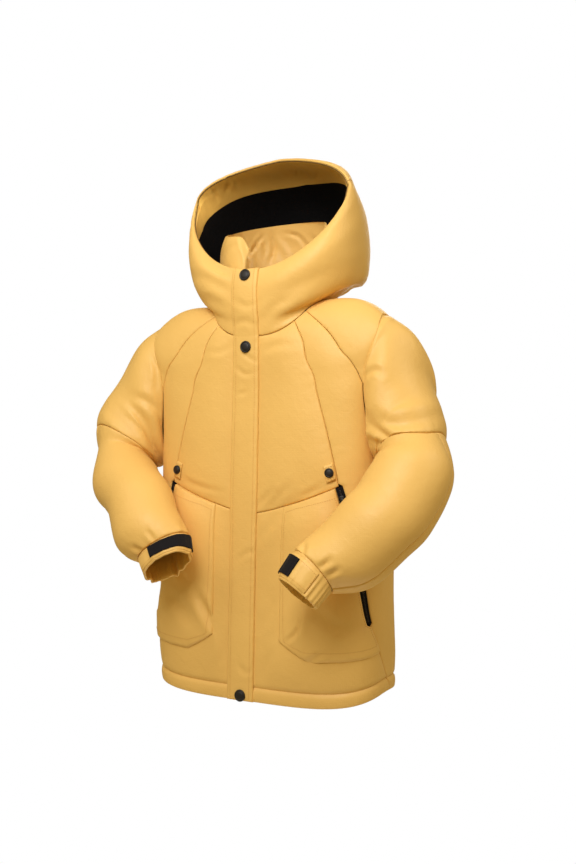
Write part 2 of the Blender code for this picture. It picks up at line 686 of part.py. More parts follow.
def sleeve_piece(arm, turns, alongs, closed=False):
    turn, along = np.meshgrid(turns, alongs)
    points = sleeve(arm, turn, along)
    near = np.clip(along, 0.003, 0.997)
    around = sleeve(arm, turn + 1.0, near) - sleeve(arm, turn - 1.0, near)
    down = sleeve(arm, turn, near + 0.003) - sleeve(arm, turn, near - 0.003)
    normals = unit(np.cross(around, down))
    if closed:
        wide = np.concatenate([points, points, points], axis=1)
        lift = swell(wide, SLEEVE_PUFF)[:, len(turns) : 2 * len(turns)]
        share = (1 + np.cos(np.radians(turns)))[:, None] / 2
        torso = loft_normal(TORSO, *armhole(turns))
        normals[0] = unit(torso * share + normals[0] * (1 - share))
    else:
        lift = swell(points, SLEEVE_PUFF)
    lift = np.maximum(lift - folds(turn, along), 0)
    sides = "bottom top" if closed else "bottom top left right"
    return piece(draw_in(points, SEAM_GAP, sides), normals, FLAT + lift)


def sleeve_upper(arm):
    return sleeve_piece(arm, np.arange(0, 360, TURN_STEP), UPPER_ALONG, closed=True)


def forearm_top(arm):
    return sleeve_piece(arm, np.arange(UNDER_SEAM, HIDDEN_SEAM + 361, TURN_STEP), FOREARM_ALONG)


def forearm_under(arm):
    return sleeve_piece(arm, np.arange(HIDDEN_SEAM, UNDER_SEAM + 1, TURN_STEP), FOREARM_ALONG)


# The cuffs


def cuff(arm, side):
    """The gathered tube at the wrist, smooth under its strap."""
    turns = np.arange(CUFF_COLUMNS) * 360.0 / CUFF_COLUMNS
    start = sleeve(arm, turns, np.full(turns.shape, 1.0))
    centre = arm_centre(arm)[-1]
    path = unit(np.array(CUFF_WAY[side]))
    climb = CUFF_CLIMB[:, None, None]
    slant = ((start - centre) @ path)[..., None] * path
    out = start - centre - slant
    points = start + path * CUFF_LENGTH * climb - slant * CUFF_TURN * climb
    points -= out * (CUFF_TAPER[0] + CUFF_TAPER[1] * climb)
    column = np.arange(CUFF_COLUMNS)
    first, last = TAB_COLUMNS[side]
    smooth = (column >= first - 1) & (column <= last)
    wave = np.where(column % 2, GATHER, -GATHER / 2) * np.where(smooth, 0.0, 1.0)
    wave = wave * GATHER_ROWS[:, None]
    normals = np.broadcast_to(unit(out), points.shape)
    return piece(points + normals * wave[..., None], normals, FLAT)


# Turning pieces into objects


def material(name, colour, roughness, metallic=0.0):
    made = bpy.data.materials.new(name)
    made.use_nodes = True
    shader = made.node_tree.nodes["Principled BSDF"]
    shader.inputs["Base Color"].default_value = (*colour, 1.0)
    shader.inputs["Roughness"].default_value = roughness
    shader.inputs["Metallic"].default_value = metallic
    return made


def add_object(name, points, faces, colour, roughness):
    mesh = bpy.data.meshes.new(name)
    mesh.from_pydata((np.asarray(points) * MM).tolist(), [], faces)
    mesh.update()
    mesh.shade_smooth()
    mesh.set_sharp_from_angle(angle=math.radians(40))
    mesh.materials.append(material(name, colour, roughness))
    bpy.context.scene.collection.objects.link(bpy.data.objects.new(name, mesh))


def short_first(base, quad):
    """The square's corners, turned so that its shorter diagonal runs from the first to the third."""
    a, b, c, d = (base[corner] for corner in quad)
    return quad if np.sum((a - c) ** 2) <= np.sum((b - d) ** 2) else quad[1:] + quad[:1]


def wall(name, one, colour=YELLOW, roughness=0.42, closed=False):
    """The closed wall of a piece. The columns of a closed piece run right round."""
    outer = one["points"] + one["normals"] * one["outer"][..., None]
    inner = one["points"] - one["normals"] * one["inner"][..., None]
    rows, columns = one["outer"].shape
    front = np.arange(rows * columns).reshape(rows, columns)
    rear = front + rows * columns
    steps = [(c, (c + 1) % columns) for c in range(columns if closed else columns - 1)]
    points = np.concatenate([outer.reshape(-1, 3), inner.reshape(-1, 3)])
    faces = []
    for r in range(rows - 1):
        for c, after in steps:
            quad = short_first(one["base"], [(r, c), (r, after), (r + 1, after), (r + 1, c)])
            for corners in (quad[:3], quad[2:] + quad[:1]):
                faces.append(tuple(int(front[corner]) for corner in corners))
                faces.append(tuple(int(rear[corner]) for corner in corners[::-1]))
    for c, after in steps:
        faces += edge_faces(points, [rear[0, c], rear[0, after], front[0, after], front[0, c]])
        faces += edge_faces(points, [rear[-1, after], rear[-1, c], front[-1, c], front[-1, after]])
    if not closed:
        for r in range(rows - 1):
            faces += edge_faces(points, [rear[r + 1, 0], rear[r, 0], front[r, 0], front[r + 1, 0]])
            faces += edge_faces(points, [rear[r, -1], rear[r + 1, -1], front[r + 1, -1], front[r, -1]])
    add_object(name, points, faces, colour, roughness)


def edge_faces(points, ends):
    """The two faces of a wall's edge between four corners, two on the inner face and then two on the outer one.

    Where two pieces meet, their edges have the same corners in opposite order, so the cut goes by place.
    """
    a, b, c, d = (int(end) for end in ends)
    low, high = (np.abs(points[end]) @ CUT_WAY for end in (a, b))
    return [(a, b, c), (a, c, d)] if low < high else [(b, c, d), (b, d, a)]


def on_face(one, row, column):
    """A point on a piece's outer face, and the way out there, at a row and column that may be fractions."""
    row, column = np.broadcast_arrays(np.asarray(row, float), np.asarray(column, float))
    face = one["points"] + one["normals"] * one["outer"][..., None]
    r = np.clip(row.astype(int), 0, face.shape[0] - 2)
    c = np.clip(column.astype(int), 0, face.shape[1] - 2)
    up, over = (row - r)[..., None], (column - c)[..., None]
    low, low_next, high, high_next = face[r, c], face[r, c + 1], face[r + 1, c], face[r + 1, c + 1]
    climb = (high - low) * (1 - over) + (high_next - low_next) * over
    across = (low_next - low) * (1 - up) + (high_next - high) * up
    point = (low * (1 - over) + low_next * over) + climb * up
    return point, unit(np.cross(across, climb))


def disc(name, centre, normal, radius, height):
    """A snap's cap: a low round disc with a bevelled edge."""
    across = unit(np.cross((0.0, 0.0, 1.0), normal))
    along = np.cross(normal, across)
    turn = np.arange(SNAP_SIDES) * 2 * math.pi / SNAP_SIDES
    spokes = np.cos(turn)[:, None] * across + np.sin(turn)[:, None] * along
    profile = ((radius, 0.0), (radius, height * SNAP_RIM), (radius * SNAP_TOP, height))
    points = np.concatenate([centre + spokes * size + normal * lift for size, lift in profile])
    faces = []
    for low in (0, SNAP_SIDES):
        for s in range(SNAP_SIDES):
            t = (s + 1) % SNAP_SIDES
            faces.append((low + s, low + t, low + t + SNAP_SIDES, low + s + SNAP_SIDES))
    faces.append(tuple(range(SNAP_SIDES))[::-1])
    faces.append(tuple(range(2 * SNAP_SIDES, 3 * SNAP_SIDES)))
    add_object(name, points, faces, INK, 0.45)


# The closure, the pockets and the small pieces, laid on the pieces below them


def front_rail(lower, centre, hood_part, column):
    """One column up the whole front, from the hem past the yoke and neck seams to the hood's rim."""
    parts = ((lower, slice(None)), (centre, slice(1, None)), (hood_part, slice(1, None)))
    return {key: np.concatenate([one[key][rows, column] for one, rows in parts]) for key in lower}


def strip(*rails):
    """A grid made of columns."""
    return {key: np.stack([rail[key] for rail in rails], axis=1) for key in rails[0]}


def mixed(first, second, way):
    return {key: first[key] * (1 - way) + second[key] * way for key in first}


def front_zip(right_rail, left_rail):
    """The tape of the front zip, in the opening between the two fronts."""
    inset = (ZIP_HALF - ZIP_TAPE_HALF) / (2 * ZIP_HALF)
    tape = strip(mixed(right_rail, left_rail, inset), mixed(right_rail, left_rail, 1 - inset))
    return piece(tape["points"], tape["normals"], ZIP_THICK / 2, ZIP_THICK / 2)


def pocket(lower):
    """The patch pocket, on the outer columns of the lower front."""
    made = layered(lower, (4, None), (3, None), POCKET_EDGE)
    made["outer"] += swell(made["points"], POCKET_PUFF, reach=POCKET_REACH)
    made["points"] = draw_in(made["points"], POCKET_CLEAR, "top right")
    return made


def pocket_zip(lower, side_piece):
    """The black zip along the pocket's outer edge, flush between the lower front and the side piece."""
    rows = slice(ZIP_END, len(LOW_SHARES) + 1)
    rails = [{key: one[key][rows, column] for key in one} for one, column in ((lower, -1), (side_piece, 0))]
    tape = strip(*rails)
    points = draw_in(tape["points"], POCKET_ZIP_CLEAR)
    return piece(points, tape["normals"], ZIP_THICK / 2, ZIP_THICK / 2)


def chest_tab(centre):
    """The small tab over the end of the pocket zip, on the chest piece's lower outer corner."""
    row, column = np.meshgrid(CHEST_TAB_ROWS, CHEST_TAB_COLUMNS, indexing="ij")
    points, normals = on_face(centre, row, column)
    return piece(points + normals * (LAYER_GAP + CHEST_TAB_OUT[:, None, None]), normals, TAB_THICK, 0.0)


def snap_on(name, one, row, column, radius):
    centre, normal = on_face(one, row, column)
    disc(name, centre + normal * LAYER_GAP, normal, radius, SNAP_THICK)


def add_front(side, turn, edge):
    """One half of the front, and its shoulder and hood side. Returns the pieces that others are laid on."""
    lower, centre, side_piece = front_lower(edge), front_centre(edge), front_side()
    hood_part = hood_side(edge)
    tab = chest_tab(centre)
    wall("front_lower_" + side, turn(lower))
    wall("front_centre_" + side, turn(centre))
    wall("front_side_" + side, turn(side_piece))
    wall("shoulder_" + side, turn(shoulder()))
    wall("hood_side_" + side, turn(hood_part))
    wall("pocket_" + side, turn(pocket(lower)))
    wall("pocket_zip_" + side, turn(pocket_zip(lower, side_piece)), CHARCOAL, 0.7)
    wall("chest_tab_" + side, turn(tab))
    snap_on("chest_snap_" + side, turn(tab), 0.5, 0.5, TAB_SNAP_RADIUS)
    return turn(lower), turn(centre), turn(hood_part)


def add_arm(side, turn, arm):
    """One sleeve with its cuff."""
    wrist = cuff(arm, side)
    strap = layered(wrist, TAB_ROWS, TAB_COLUMNS[side], TAB_THICK)
    rows = [row - TAB_ROWS[0] for row in PATCH_ROWS]
    columns = [column - TAB_COLUMNS[side][0] for column in PATCH_COLUMNS[side]]
    patch = layered(strap, rows, columns, PATCH_THICK)
    wall("sleeve_upper_" + side, turn(sleeve_upper(arm)), closed=True)
    wall("forearm_top_" + side, turn(forearm_top(arm)))
    wall("forearm_under_" + side, turn(forearm_under(arm)))
    wall("cuff_" + side, turn(wrist), closed=True)
    wall("cuff_tab_" + side, turn(strap))
    wall("cuff_patch_" + side, turn(patch), CHARCOAL, 0.9)


def main():
    for old in list(bpy.data.objects):
        bpy.data.objects.remove(old, do_unlink=True)
    left = add_front("L", dict, FLAP_LEFT)
    right = add_front("R", mirrored, -FLAP_RIGHT)
    rails = [front_rail(*right, -2), front_rail(*right, -1), front_rail(*left, 0), front_rail(*left, 1)]
    flap = layered(strip(*rails), (None,), (None,), FLAP_THICK)
    wall("storm_flap", flap)
    for name, row in zip(("bottom", "middle", "top"), SNAP_ROWS):
        snap_on("snap_" + name, flap, row, SNAP_COLUMN, SNAP_RADIUS)
    wall("front_zip", front_zip(rails[1], rails[2]), CHARCOAL, 0.7)
    wall("back", back())
    wall("hood_centre", hood_centre())
    wall("hood_facing", hood_facing())
    wall("hood_lining", hood_lining(), INK, 0.6)
    wall("inner_collar", inner_collar())
    add_arm("L", dict, LEFT_ARM)
    add_arm("R", mirrored, RIGHT_ARM)


if __name__ == "__main__":
    main()
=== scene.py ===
"""The looks of a child's hooded, padded winter coat, filled out as if worn.

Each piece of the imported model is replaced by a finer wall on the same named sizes, given in millimetres below. The
finer wall adds what sewing and wear do to cloth: dips and puckers at the seams, soft folds where the photograph
shows them and similar ones on the hidden sides, gathers at the cuffs, stitches, zip teeth and the weave.
"""

import math

import bpy
import mathutils
import numpy as np
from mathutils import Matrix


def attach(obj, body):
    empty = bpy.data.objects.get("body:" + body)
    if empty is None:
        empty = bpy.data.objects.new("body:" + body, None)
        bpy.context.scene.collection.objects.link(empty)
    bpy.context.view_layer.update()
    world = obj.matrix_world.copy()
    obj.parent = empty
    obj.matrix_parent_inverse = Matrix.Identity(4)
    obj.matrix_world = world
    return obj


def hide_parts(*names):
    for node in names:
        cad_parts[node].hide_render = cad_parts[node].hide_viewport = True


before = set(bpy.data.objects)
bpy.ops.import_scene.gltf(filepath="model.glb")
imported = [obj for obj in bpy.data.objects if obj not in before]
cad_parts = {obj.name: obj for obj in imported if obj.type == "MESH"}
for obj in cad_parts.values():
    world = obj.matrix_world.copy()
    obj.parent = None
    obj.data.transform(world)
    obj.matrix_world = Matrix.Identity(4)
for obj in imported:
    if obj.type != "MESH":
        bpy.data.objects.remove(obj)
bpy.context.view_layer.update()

MM = 0.001


def table(columns, *rows):
    """A table as a dict of arrays, one for each named column."""
    return dict(zip(columns.split(), np.array(rows, float).T))


# Cloth and clearances
SEAM_GAP = 0.2  # how far each piece stops short of its seam line
LAYER_GAP = 0.35  # between a piece and what is laid on it
FLAT = 1.5  # half the wall where shell, wadding and lining are stitched flat
TORSO_PUFF = 5.0  # how far the wadding lifts the shell in the middle of a chest, lower front or back piece
SIDE_PUFF = 2.5
SHOULDER_PUFF = 3.0
SLEEVE_PUFF = 4.5
HOOD_PUFF = 3.5
COLLAR_PUFF = 1.5
COLLAR_CURL = 9.0  # how far its upper edge leans in
POCKET_PUFF = 5.0
HEM_PUFF = 1.2  # the narrow tube between the hem's edge and its stitch line
PUFF_REACH = 45.0  # the distance from a seam at which the wadding is at its full height
POCKET_REACH = 40.0
COLLAR_REACH = 25.0

# Rings of the torso, from the hem (share 0) up to the neck seam (share 1). Each half of a ring has its own
# squareness, 2 for an ellipse, and its own bend, which says how its height runs from the side to the middle.
RING = (
    "share z_front z_side z_back half_width y_front y_side y_back "
    "square_front square_back bend_front bend_back"
)
TORSO = table(
    RING,
    (0.00, -579, -562, -570, 177, -93, 3, 84, 3.8, 2.5, 2.0, 2.0),
    (0.15, -494, -482, -488, 177, -90, 0, 83, 3.8, 2.5, 2.0, 2.0),
    (0.35, -383, -372, -376, 176, -86, -4, 82, 3.9, 2.5, 2.0, 2.0),
    (0.55, -272, -245, -256, 174, -82, -9, 80, 4.0, 2.5, 2.0, 2.0),
    (0.70, -195, -158, -175, 177, -79, -17, 77, 3.7, 2.5, 2.0, 2.0),
    (0.82, -138, -90, -108, 183, -77, -26, 73, 3.3, 2.5, 2.0, 2.0),
    (0.90, -102, -46, -52, 186, -77, -32, 68, 2.8, 2.4, 2.0, 2.0),
    (0.95, -80, -18, -16, 147, -77, -24, 65, 2.6, 2.2, 2.2, 2.0),
    (1.00, -62, -11, 6, 85, -77, -14, 61, 2.8, 2.0, 2.6, 2.0),
)
# Rings of the hood, from just above the neck seam up to the rim (share 1). Each passes through a front, a side
# and a back point. Squareness is 2 for an ellipse, and a bend over 1 holds the back half forward at its sides.
HOOD = table(
    "share y_front z_front half_width y_side z_side y_back z_back square_front square_back bend_back",
    (0.08, -79, -44, 100, 0, 10, 94, 10, 2.1, 2.4, 1.0),
    (0.18, -81, -31, 116, 6, 18, 115, 13, 2.1, 2.6, 1.0),
    (0.35, -82, -14, 128, 0, 46, 136, 52, 2.1, 2.4, 1.0),
    (0.55, -82, 6, 132, -8, 86, 139, 110, 2.1, 2.1, 1.0),
    (0.75, -80, 20, 132, -16, 120, 112, 172, 2.1, 1.8, 1.2),
    (0.90, -78, 30, 132, -23, 140, 58, 208, 2.1, 1.7, 1.6),
    (1.00, -77, 34, 130, -27, 149, 4, 208, 2.1, 1.6, 2.0),
)
GUSSET = table("share angle", (0.0, 152.0), (0.4, 141.0), (0.75, 119.0), (1.0, 98.0))

# Seams of a torso half, as the angle in degrees from the centre front at a share of the way up.
PRINCESS = table(
    "share angle",
    (0.538, 64.3), (0.62, 63.8), (0.72, 63.6), (0.80, 64.0), (0.88, 64.8), (0.94, 59.8), (1.00, 50.5),
)
ZIP_LINE = table(
    "share angle",
    (0.00, 90.5), (0.06, 85.0), (0.12, 79.5), (0.19, 74.0), (0.29, 70.8), (0.40, 68.0), (0.538, 64.3),
)
RAGLAN = table(
    "share angle",
    (0.782, 77.4), (0.83, 76.6), (0.88, 75.7), (0.92, 73.2), (0.96, 68.0), (1.00, 61.5),
)
YOKE = table("angle share", (0, 0.470), (30, 0.488), (48, 0.508), (64.3, 0.538))
BACK_RAGLAN = 122.0  # the angle at which the back raglan seam reaches the neck
POCKET_SEAM = table("share angle", (0.00, 31.0), (0.16, 31.8), (0.33, 33.6), (0.538, 36.5))

# The armhole is a loop in angle and share.
ARMHOLE_TOP = 0.912
ARMHOLE_BOTTOM = 0.535
ARMHOLE_FRONT = 76.9
ARMHOLE_MIDDLE = 92.0
ARMHOLE_BACK = 112.0

HEM_STITCH = 0.036  # share of the stitch line that closes the hem
POCKET_BOTTOM = 0.114  # share of the pocket's lower edge
POCKET_CORNER = 0.160  # share at which the pocket's slanted corner leaves its inner seam
YOKE_END = YOKE["share"][-1]
BELOW_YOKE = 0.02  # how far the row below the slanted yoke seam drops where the seam is lowest

# The grids of the torso's pieces
LOW_SHARES = np.array([0.0, 0.018, HEM_STITCH, 0.056, POCKET_BOTTOM, 0.180, 0.194, 0.27, 0.36, 0.45])
ZIP_END = 6  # the row at which the pocket zip begins
HIGH_SHARES = np.array([0.552, 0.60, 0.65, 0.70, 0.75, 0.80, 0.85, 0.89, 0.93, 0.965, 1.0])
TURN_STEP = 18.0  # the sleeve's columns and the armhole's points stand this far apart
SHOULDER_TURNS = np.arange(72.0, -73.0, -TURN_STEP)
RAGLAN_SHARES = np.array([0.83, 0.88, 0.92, 0.955, 1.0])
SIDE_SEAM_HEM = 107.0  # the side seam's angle at the hem
SIDE_WAYS = np.array([0, 0.2, 0.5, 0.8, 1.0])
BACK_WAYS = np.array([0, 0.05, 0.13, 0.24, 0.37, 0.5, 0.63, 0.76, 0.87, 0.95, 1.0])

# Closure
ZIP_HALF = 6.0  # half the opening at the centre front, which the front zip fills
FLAP_LEFT = 12.5  # the storm flap's stitched edge, on the wearer's left
FLAP_RIGHT = -30.0  # its free edge
FLAP_THICK = 3.0
POCKET_ZIP_HALF = 5.0
POCKET_ZIP_CLEAR = 0.4
ZIP_THICK = 2.4
ZIP_TAPE_HALF = 5.7
TAPE_MIDDLE = 3.0  # the column in the middle of a pocket zip's tape, and the row at which its slider stands
SLIDER_ROW = 53.5
POCKET_EDGE = 2.4  # the pocket's thickness at its seams
POCKET_CLEAR = 0.6
SNAP_RADIUS = 8.5
SNAP_THICK = 3.2
TAB_SNAP_RADIUS = 6.5
SNAP_ROWS = (0.8, 19.8, 29.6)  # rows of the flap at which its snaps stand
SNAP_COLUMN = 7.2
FLAP_PUFF = 1.4
CHEST_TAB_ROWS = np.array([1.1, 2.0])
CHEST_TAB_COLUMNS = np.array([5.6, 5.97])
CHEST_TAB_OUT = np.array([1.6, 0.1])  # how far its free lower end and its stitched end stand off

# The arms: where the outer line and the inner line of each sleeve pass, and half its size across them.
ARM = "along x_out y_out z_out x_in y_in z_in half_across"
LEFT_ARM = table(
    ARM,
    (0.05, 209, -27, -55, 185, -16, -252, 56),
    (0.16, 234, -27, -118, 191, -27, -250, 58),
    (0.34, 272, -37, -190, 190, -48, -244, 55),
    (0.48, 292, -45, -264, 192, -87, -236, 53),
    (0.60, 276, -81, -325, 180, -106, -270, 53),
    (0.72, 252, -108, -358, 168, -118, -287, 52),
    (0.87, 211, -131, -398, 137, -135, -327, 48),
    (1.00, 172, -157, -407, 112, -162, -351, 38),
)
RIGHT_ARM = table(
    ARM,
    (0.05, 216, -33, -54, 184, -14, -252, 56),
    (0.16, 259, -38, -114, 189, -25, -251, 57),
    (0.34, 284, -78, -190, 188, -42, -250, 55),
    (0.48, 267, -76, -262, 187, -66, -234, 52),
    (0.60, 238, -104, -314, 172, -96, -240, 51),
    (0.72, 204, -138, -330, 130, -104, -273, 49),
    (0.87, 172, -149, -377, 96, -139, -307, 46),
    (1.00, 142, -151, -388, 66, -145, -336, 40),
)
ELBOW_SEAM = 0.34  # how far along the arm the upper sleeve ends
SLEEVE_IN = 5.0  # how far the seams lie inside the filled-out sleeve's outline
ARMHOLE_LIFT = 5.5  # how far the sleeve stands off the torso under the arm
CUFF_LENGTH = 36.0
SLEEVE_FOLDS = table(
    "turn along turn_wide along_wide depth",
    (150, 0.15, 40, 0.05, 3.5),
    (165, 0.34, 45, 0.07, 4.0),
    (120, 0.42, 45, 0.04, 3.0),
    (190, 0.50, 35, 0.04, 4.0),
    (60, 0.24, 30, 0.03, 1.5),
)
FOREARM_ALONG = np.array([ELBOW_SEAM, 0.385, 0.44, 0.50, 0.56, 0.62, 0.70, 0.79, 0.88, 0.96, 1.0])
UPPER_ALONG = np.array([0.0, 0.03, 0.08, 0.14, 0.20, 0.25, 0.30, ELBOW_SEAM])
UNDER_SEAM = 18.0  # the turn of the seam along the forearm
HIDDEN_SEAM = -72.0
CUFF_COLUMNS = 36
CUFF_FINE = 252  # its finer columns, and its rows on the way from the first row (0) to the open end (1)
CUFF_RISE = np.array(
    [-0.10, -0.05, 0, 0.03, 0.07, 0.12, 0.2, 0.3, 0.4, 0.5, 0.6, 0.7, 0.78, 0.85, 0.9, 0.94, 0.97, 0.99, 1.0]
)
CUFF_START = 0.03  # how far up its own length the cuff's first row stands
CUFF_WAY = {"L": (-0.42, -0.47, -0.78), "R": (-0.56, -0.49, -0.66)}
CUFF_TURN = 0.75  # how much of the way the cuff's open end turns from the wrist seam's plane to square across
CUFF_TAPER = (0.05, 0.09)  # how much it narrows, at the wrist seam and on from there to the open end
GATHER = 1.5
TAB_COLUMNS = {"L": (7, 25), "R": (5, 24)}  # the columns of the cuff under its strap, ten degrees apart
PATCH_COLUMNS = {"L": (12, 23), "R": (9, 22)}
TAB_THICK = 2.2
PATCH_THICK = 1.6

# The hood and the collar inside it
HOOD_SHARES = np.array([0, 0.04, 0.09, 0.18, 0.28, 0.40, 0.52, 0.64, 0.75, 0.84, 0.92, 1.0])
NECK_DEPTHS = TORSO["y_side"][-1] - TORSO["y_front"][-1], TORSO["y_back"][-1] - TORSO["y_side"][-1]
HOOD_SIDE_WAYS = np.array([0.12, 0.27, 0.42, 0.57, 0.72, 0.87, 1.0])
GUSSET_WAYS = np.array([0.0, 0.14, 0.32, 0.5, 0.68, 0.86, 1.0])
# Where the yellow facing inside the rim ends and the dark lining begins, round half of the hood.
FACING_EDGE = table("angle share", (0, 0.36), (45, 0.42), (75, 0.60), (90, 0.69), (120, 0.79), (180, 0.82))
LINING_THICK = 1.2
LINING_CLEAR = 3.0  # between the shell and the layer inside it
RIM_CLEAR = 0.5  # the same at the rim
LINING_LOW = 0.03
RIM_LENGTH = 820.0  # about the facing's length before it is gathered
COLLAR = table(
    RING,
    (0.0, -54, -2, 12, 76, -67, -12, 56, 2.1, 2.1, 2.4, 2.0),
    (0.5, 15, 48, 62, 83, -71, -11, 60, 2.1, 2.1, 1.8, 1.6),
    (1.0, 84, 100, 120, 86, -74, -10, 60, 2.1, 2.1, 1.2, 1.0),
)
COLLAR_ANGLES = np.array(
    [28.0, 42, 60, 75, 90, 104, 118, 135, 155, 180, 205, 225, 245, 265, 285, 305, 322, 334, 346]
)
COLLAR_CLIMB = np.array([0.0, 0.25, 0.5, 0.75, 1.0])
# How high the collar stands, as a share of its full height: the wearer's left front hangs open and low.
COLLAR_TOP = table(
    "angle share",
    (28, 0.52), (60, 0.66), (90, 0.84), (118, 1.00), (180, 1.00), (240, 1.00), (300, 1.00), (334, 0.99), (346, 0.86),
)



FINE = 3.4  # mm between the points of a panel
EDGE_STEPS = (0.8, 1.7)  # extra rows beside a seam, in mm from it
NECK_RISE = 0.2
ELBOW_TILT = {"L": (0.045, 60.0), "R": (0.030, 115.0)}  # how far along the arm the elbow seam sags, and at which turn
ELBOW_TILT_WIDE = 60.0

# The studio: the lamps stand so many metres towards the camera, to its right and up, then size and watts
WORLD_LIGHT = 0.38
WORLD_COLOUR = (1.0, 0.80, 0.36)
LIGHTS_AIM = (0, 0, -0.2)
FLOOR_Z = -1.15
FLOOR_RADIUS = 0.5
LIGHTS = (
    ("front_up", 1.3, -0.2, 1.2, 0.9, 9.5),
    ("near", 0.95, -0.30, 0.42, 0.5, 6.3),
    ("left_up", 0.9, -1.3, 1.1, 0.8, 5.5),
    ("right_up", 0.8, 1.4, 1.1, 1.0, 9.0),
    ("back", -1.8, 0.3, 0.5, 1.4, 12.0),
)

# The camera, in mm, and the photograph's frame, in pixels
PICTURE = (576.0, 864.0)
SENSOR = 36.0  # the height of the camera's sensor
CAMERA_TURN = math.radians(29.5)
CAMERA_AWAY = 1580.0
CAMERA_Z = -197.0
FOCAL = 0.671 * CAMERA_AWAY
FRAME_MIDDLE = (278.6, 431.0)
BACK_WAY = np.array([math.sin(CAMERA_TURN), -math.cos(CAMERA_TURN), 0.0])
RIGHT_WAY = np.array([math.cos(CAMERA_TURN), math.sin(CAMERA_TURN), 0.0])


def curve(knots, values, at):
    """A smooth curve through the values at the knots, read where asked."""
    values = np.asarray(values, float)
    slopes = np.gradient(values, knots, axis=0)
    at = np.clip(at, knots[0], knots[-1])
    low = np.clip(np.searchsorted(knots, at, side="right") - 1, 0, len(knots) - 2)
    step = knots[low + 1] - knots[low]
    t = (at - knots[low]) / step
    if values.ndim > 1:
        t = t[..., None]
        step = step[..., None]
    ease = t * t * (3 - 2 * t)
    start = t * (1 - t) ** 2 * step
    end = t * t * (t - 1) * step
    return values[low] * (1 - ease) + values[low + 1] * ease + slopes[low] * start + slopes[low + 1] * end


def loft(rings, angle, share):
    """Points of a loft: the angle, in degrees, runs from the centre front towards the wearer's left."""
    angle, share = np.broadcast_arrays(np.radians(np.asarray(angle, float)), np.asarray(share, float))
    at = {name: curve(rings["share"], values, share) for name, values in rings.items() if name != "share"}
    cosine = np.cos(angle)
    forward = cosine > 0
    depth = np.where(forward, at["y_side"] - at["y_front"], at["y_back"] - at["y_side"])
    power = np.where(forward, at["square_front"], at["square_back"])
    bend = np.where(forward, at["bend_front"], at["bend_back"])
    radius = (
        (np.abs(np.sin(angle)) / at["half_width"]) ** power + (np.abs(cosine) / depth) ** power
    ) ** (-1 / power)
    rise = np.where(forward, at["z_front"], at["z_back"]) - at["z_side"]
    z = at["z_side"] + rise * (radius * np.abs(cosine) / depth) ** bend
    return np.stack([radius * np.sin(angle), at["y_side"] - radius * cosine, z], axis=-1)


def unit(vectors):
    return vectors / np.maximum(np.linalg.norm(vectors, axis=-1, keepdims=True), 1e-12)


def way_out(surface, angle, share, turn):
    """The direction straight out of a surface that is known at any angle and share."""
    near = np.clip(share, 0.004, 0.996)
    across = surface(angle + turn, near) - surface(angle - turn, near)
    up = surface(angle, near + 0.004) - surface(angle, near - 0.004)
    return unit(np.cross(across, up))


def loft_normal(rings, angle, share):
    return way_out(lambda a, s: loft(rings, a, s), angle, share, 0.4)


def armhole(turn):
    """Angle and share of the armhole: 0 at the shoulder, 90 in front, 180 under the arm, 270 behind."""
    turn = np.radians(turn)
    sine = np.sin(turn)
    reach = np.where(sine > 0, ARMHOLE_MIDDLE - ARMHOLE_FRONT, ARMHOLE_BACK - ARMHOLE_MIDDLE)
    middle = (ARMHOLE_TOP + ARMHOLE_BOTTOM) / 2
    angle = ARMHOLE_MIDDLE - reach * np.sign(sine) * np.abs(sine) ** 0.8
    return angle, middle + (ARMHOLE_TOP - middle) * np.cos(turn)


def sleeve(arm, turn, along):
    """Points of a sleeve: the turn as on the armhole, and how far along the arm, 0 to 1."""
    turn, along = np.broadcast_arrays(np.asarray(turn, float), np.asarray(along, float))
    outer = np.stack([arm["x_out"], arm["y_out"], arm["z_out"]], axis=-1)
    inner = np.stack([arm["x_in"], arm["y_in"], arm["z_in"]], axis=-1)
    centre = (outer + inner) / 2
    half = (outer - inner) / 2
    half -= unit(half) * SLEEVE_IN
    path = np.gradient(centre, arm["along"], axis=0)
    across = unit(np.cross(path, half)) * (arm["half_across"][:, None] - SLEEVE_IN)
    cosine = np.cos(np.radians(turn))[..., None]
    sine = np.sin(np.radians(turn))[..., None]
    hole = armhole(turn)
    rings = [loft(TORSO, *hole) + loft_normal(TORSO, *hole) * ARMHOLE_LIFT * (1 - cosine) / 2]
    rings += [c + h * cosine + a * sine for c, h, a in zip(centre, half, across)]
    return through(np.stack(rings), np.append(0.0, arm["along"]), along)


def through(rings, knots, at):
    """A smooth run through rings of points, one ring for each knot, read at a share for each point."""
    slopes = np.gradient(rings, knots, axis=0)
    low = np.clip(np.searchsorted(knots, at, side="right") - 1, 0, len(knots) - 2)
    step = (knots[low + 1] - knots[low])[..., None]
    t = (at - knots[low])[..., None] / step
    ease = t * t * (3 - 2 * t)
    take = np.indices(at.shape)
    p0, p1 = rings[(low, *take)], rings[(low + 1, *take)]
    m0, m1 = slopes[(low, *take)], slopes[(low + 1, *take)]
    return p0 * (1 - ease) + p1 * ease + m0 * step * t * (1 - t) ** 2 + m1 * step * t * t * (t - 1)


def arm_centre(arm):
    """The middle of each of an arm's rings."""
    return np.stack([(arm[axis + "_out"] + arm[axis + "_in"]) / 2 for axis in "xyz"], axis=-1)


# Uneven shapes that come out the same each time


def hashed(cell):
    """A number from -1 to 1 for each whole-numbered place."""
    x, y, z = (cell[..., axis].astype(np.int64) for axis in range(3))
    mixed_up = (x * 374761393 + y * 668265263 + z * 1274126177) & 0x7FFFFFFF
    mixed_up = ((mixed_up ^ (mixed_up >> 13)) * 1103515245) & 0x7FFFFFFF
    mixed_up = ((mixed_up ^ (mixed_up >> 16)) * 69069) & 0x7FFFFFFF
    return (mixed_up >> 8) % 4096 / 2047.5 - 1


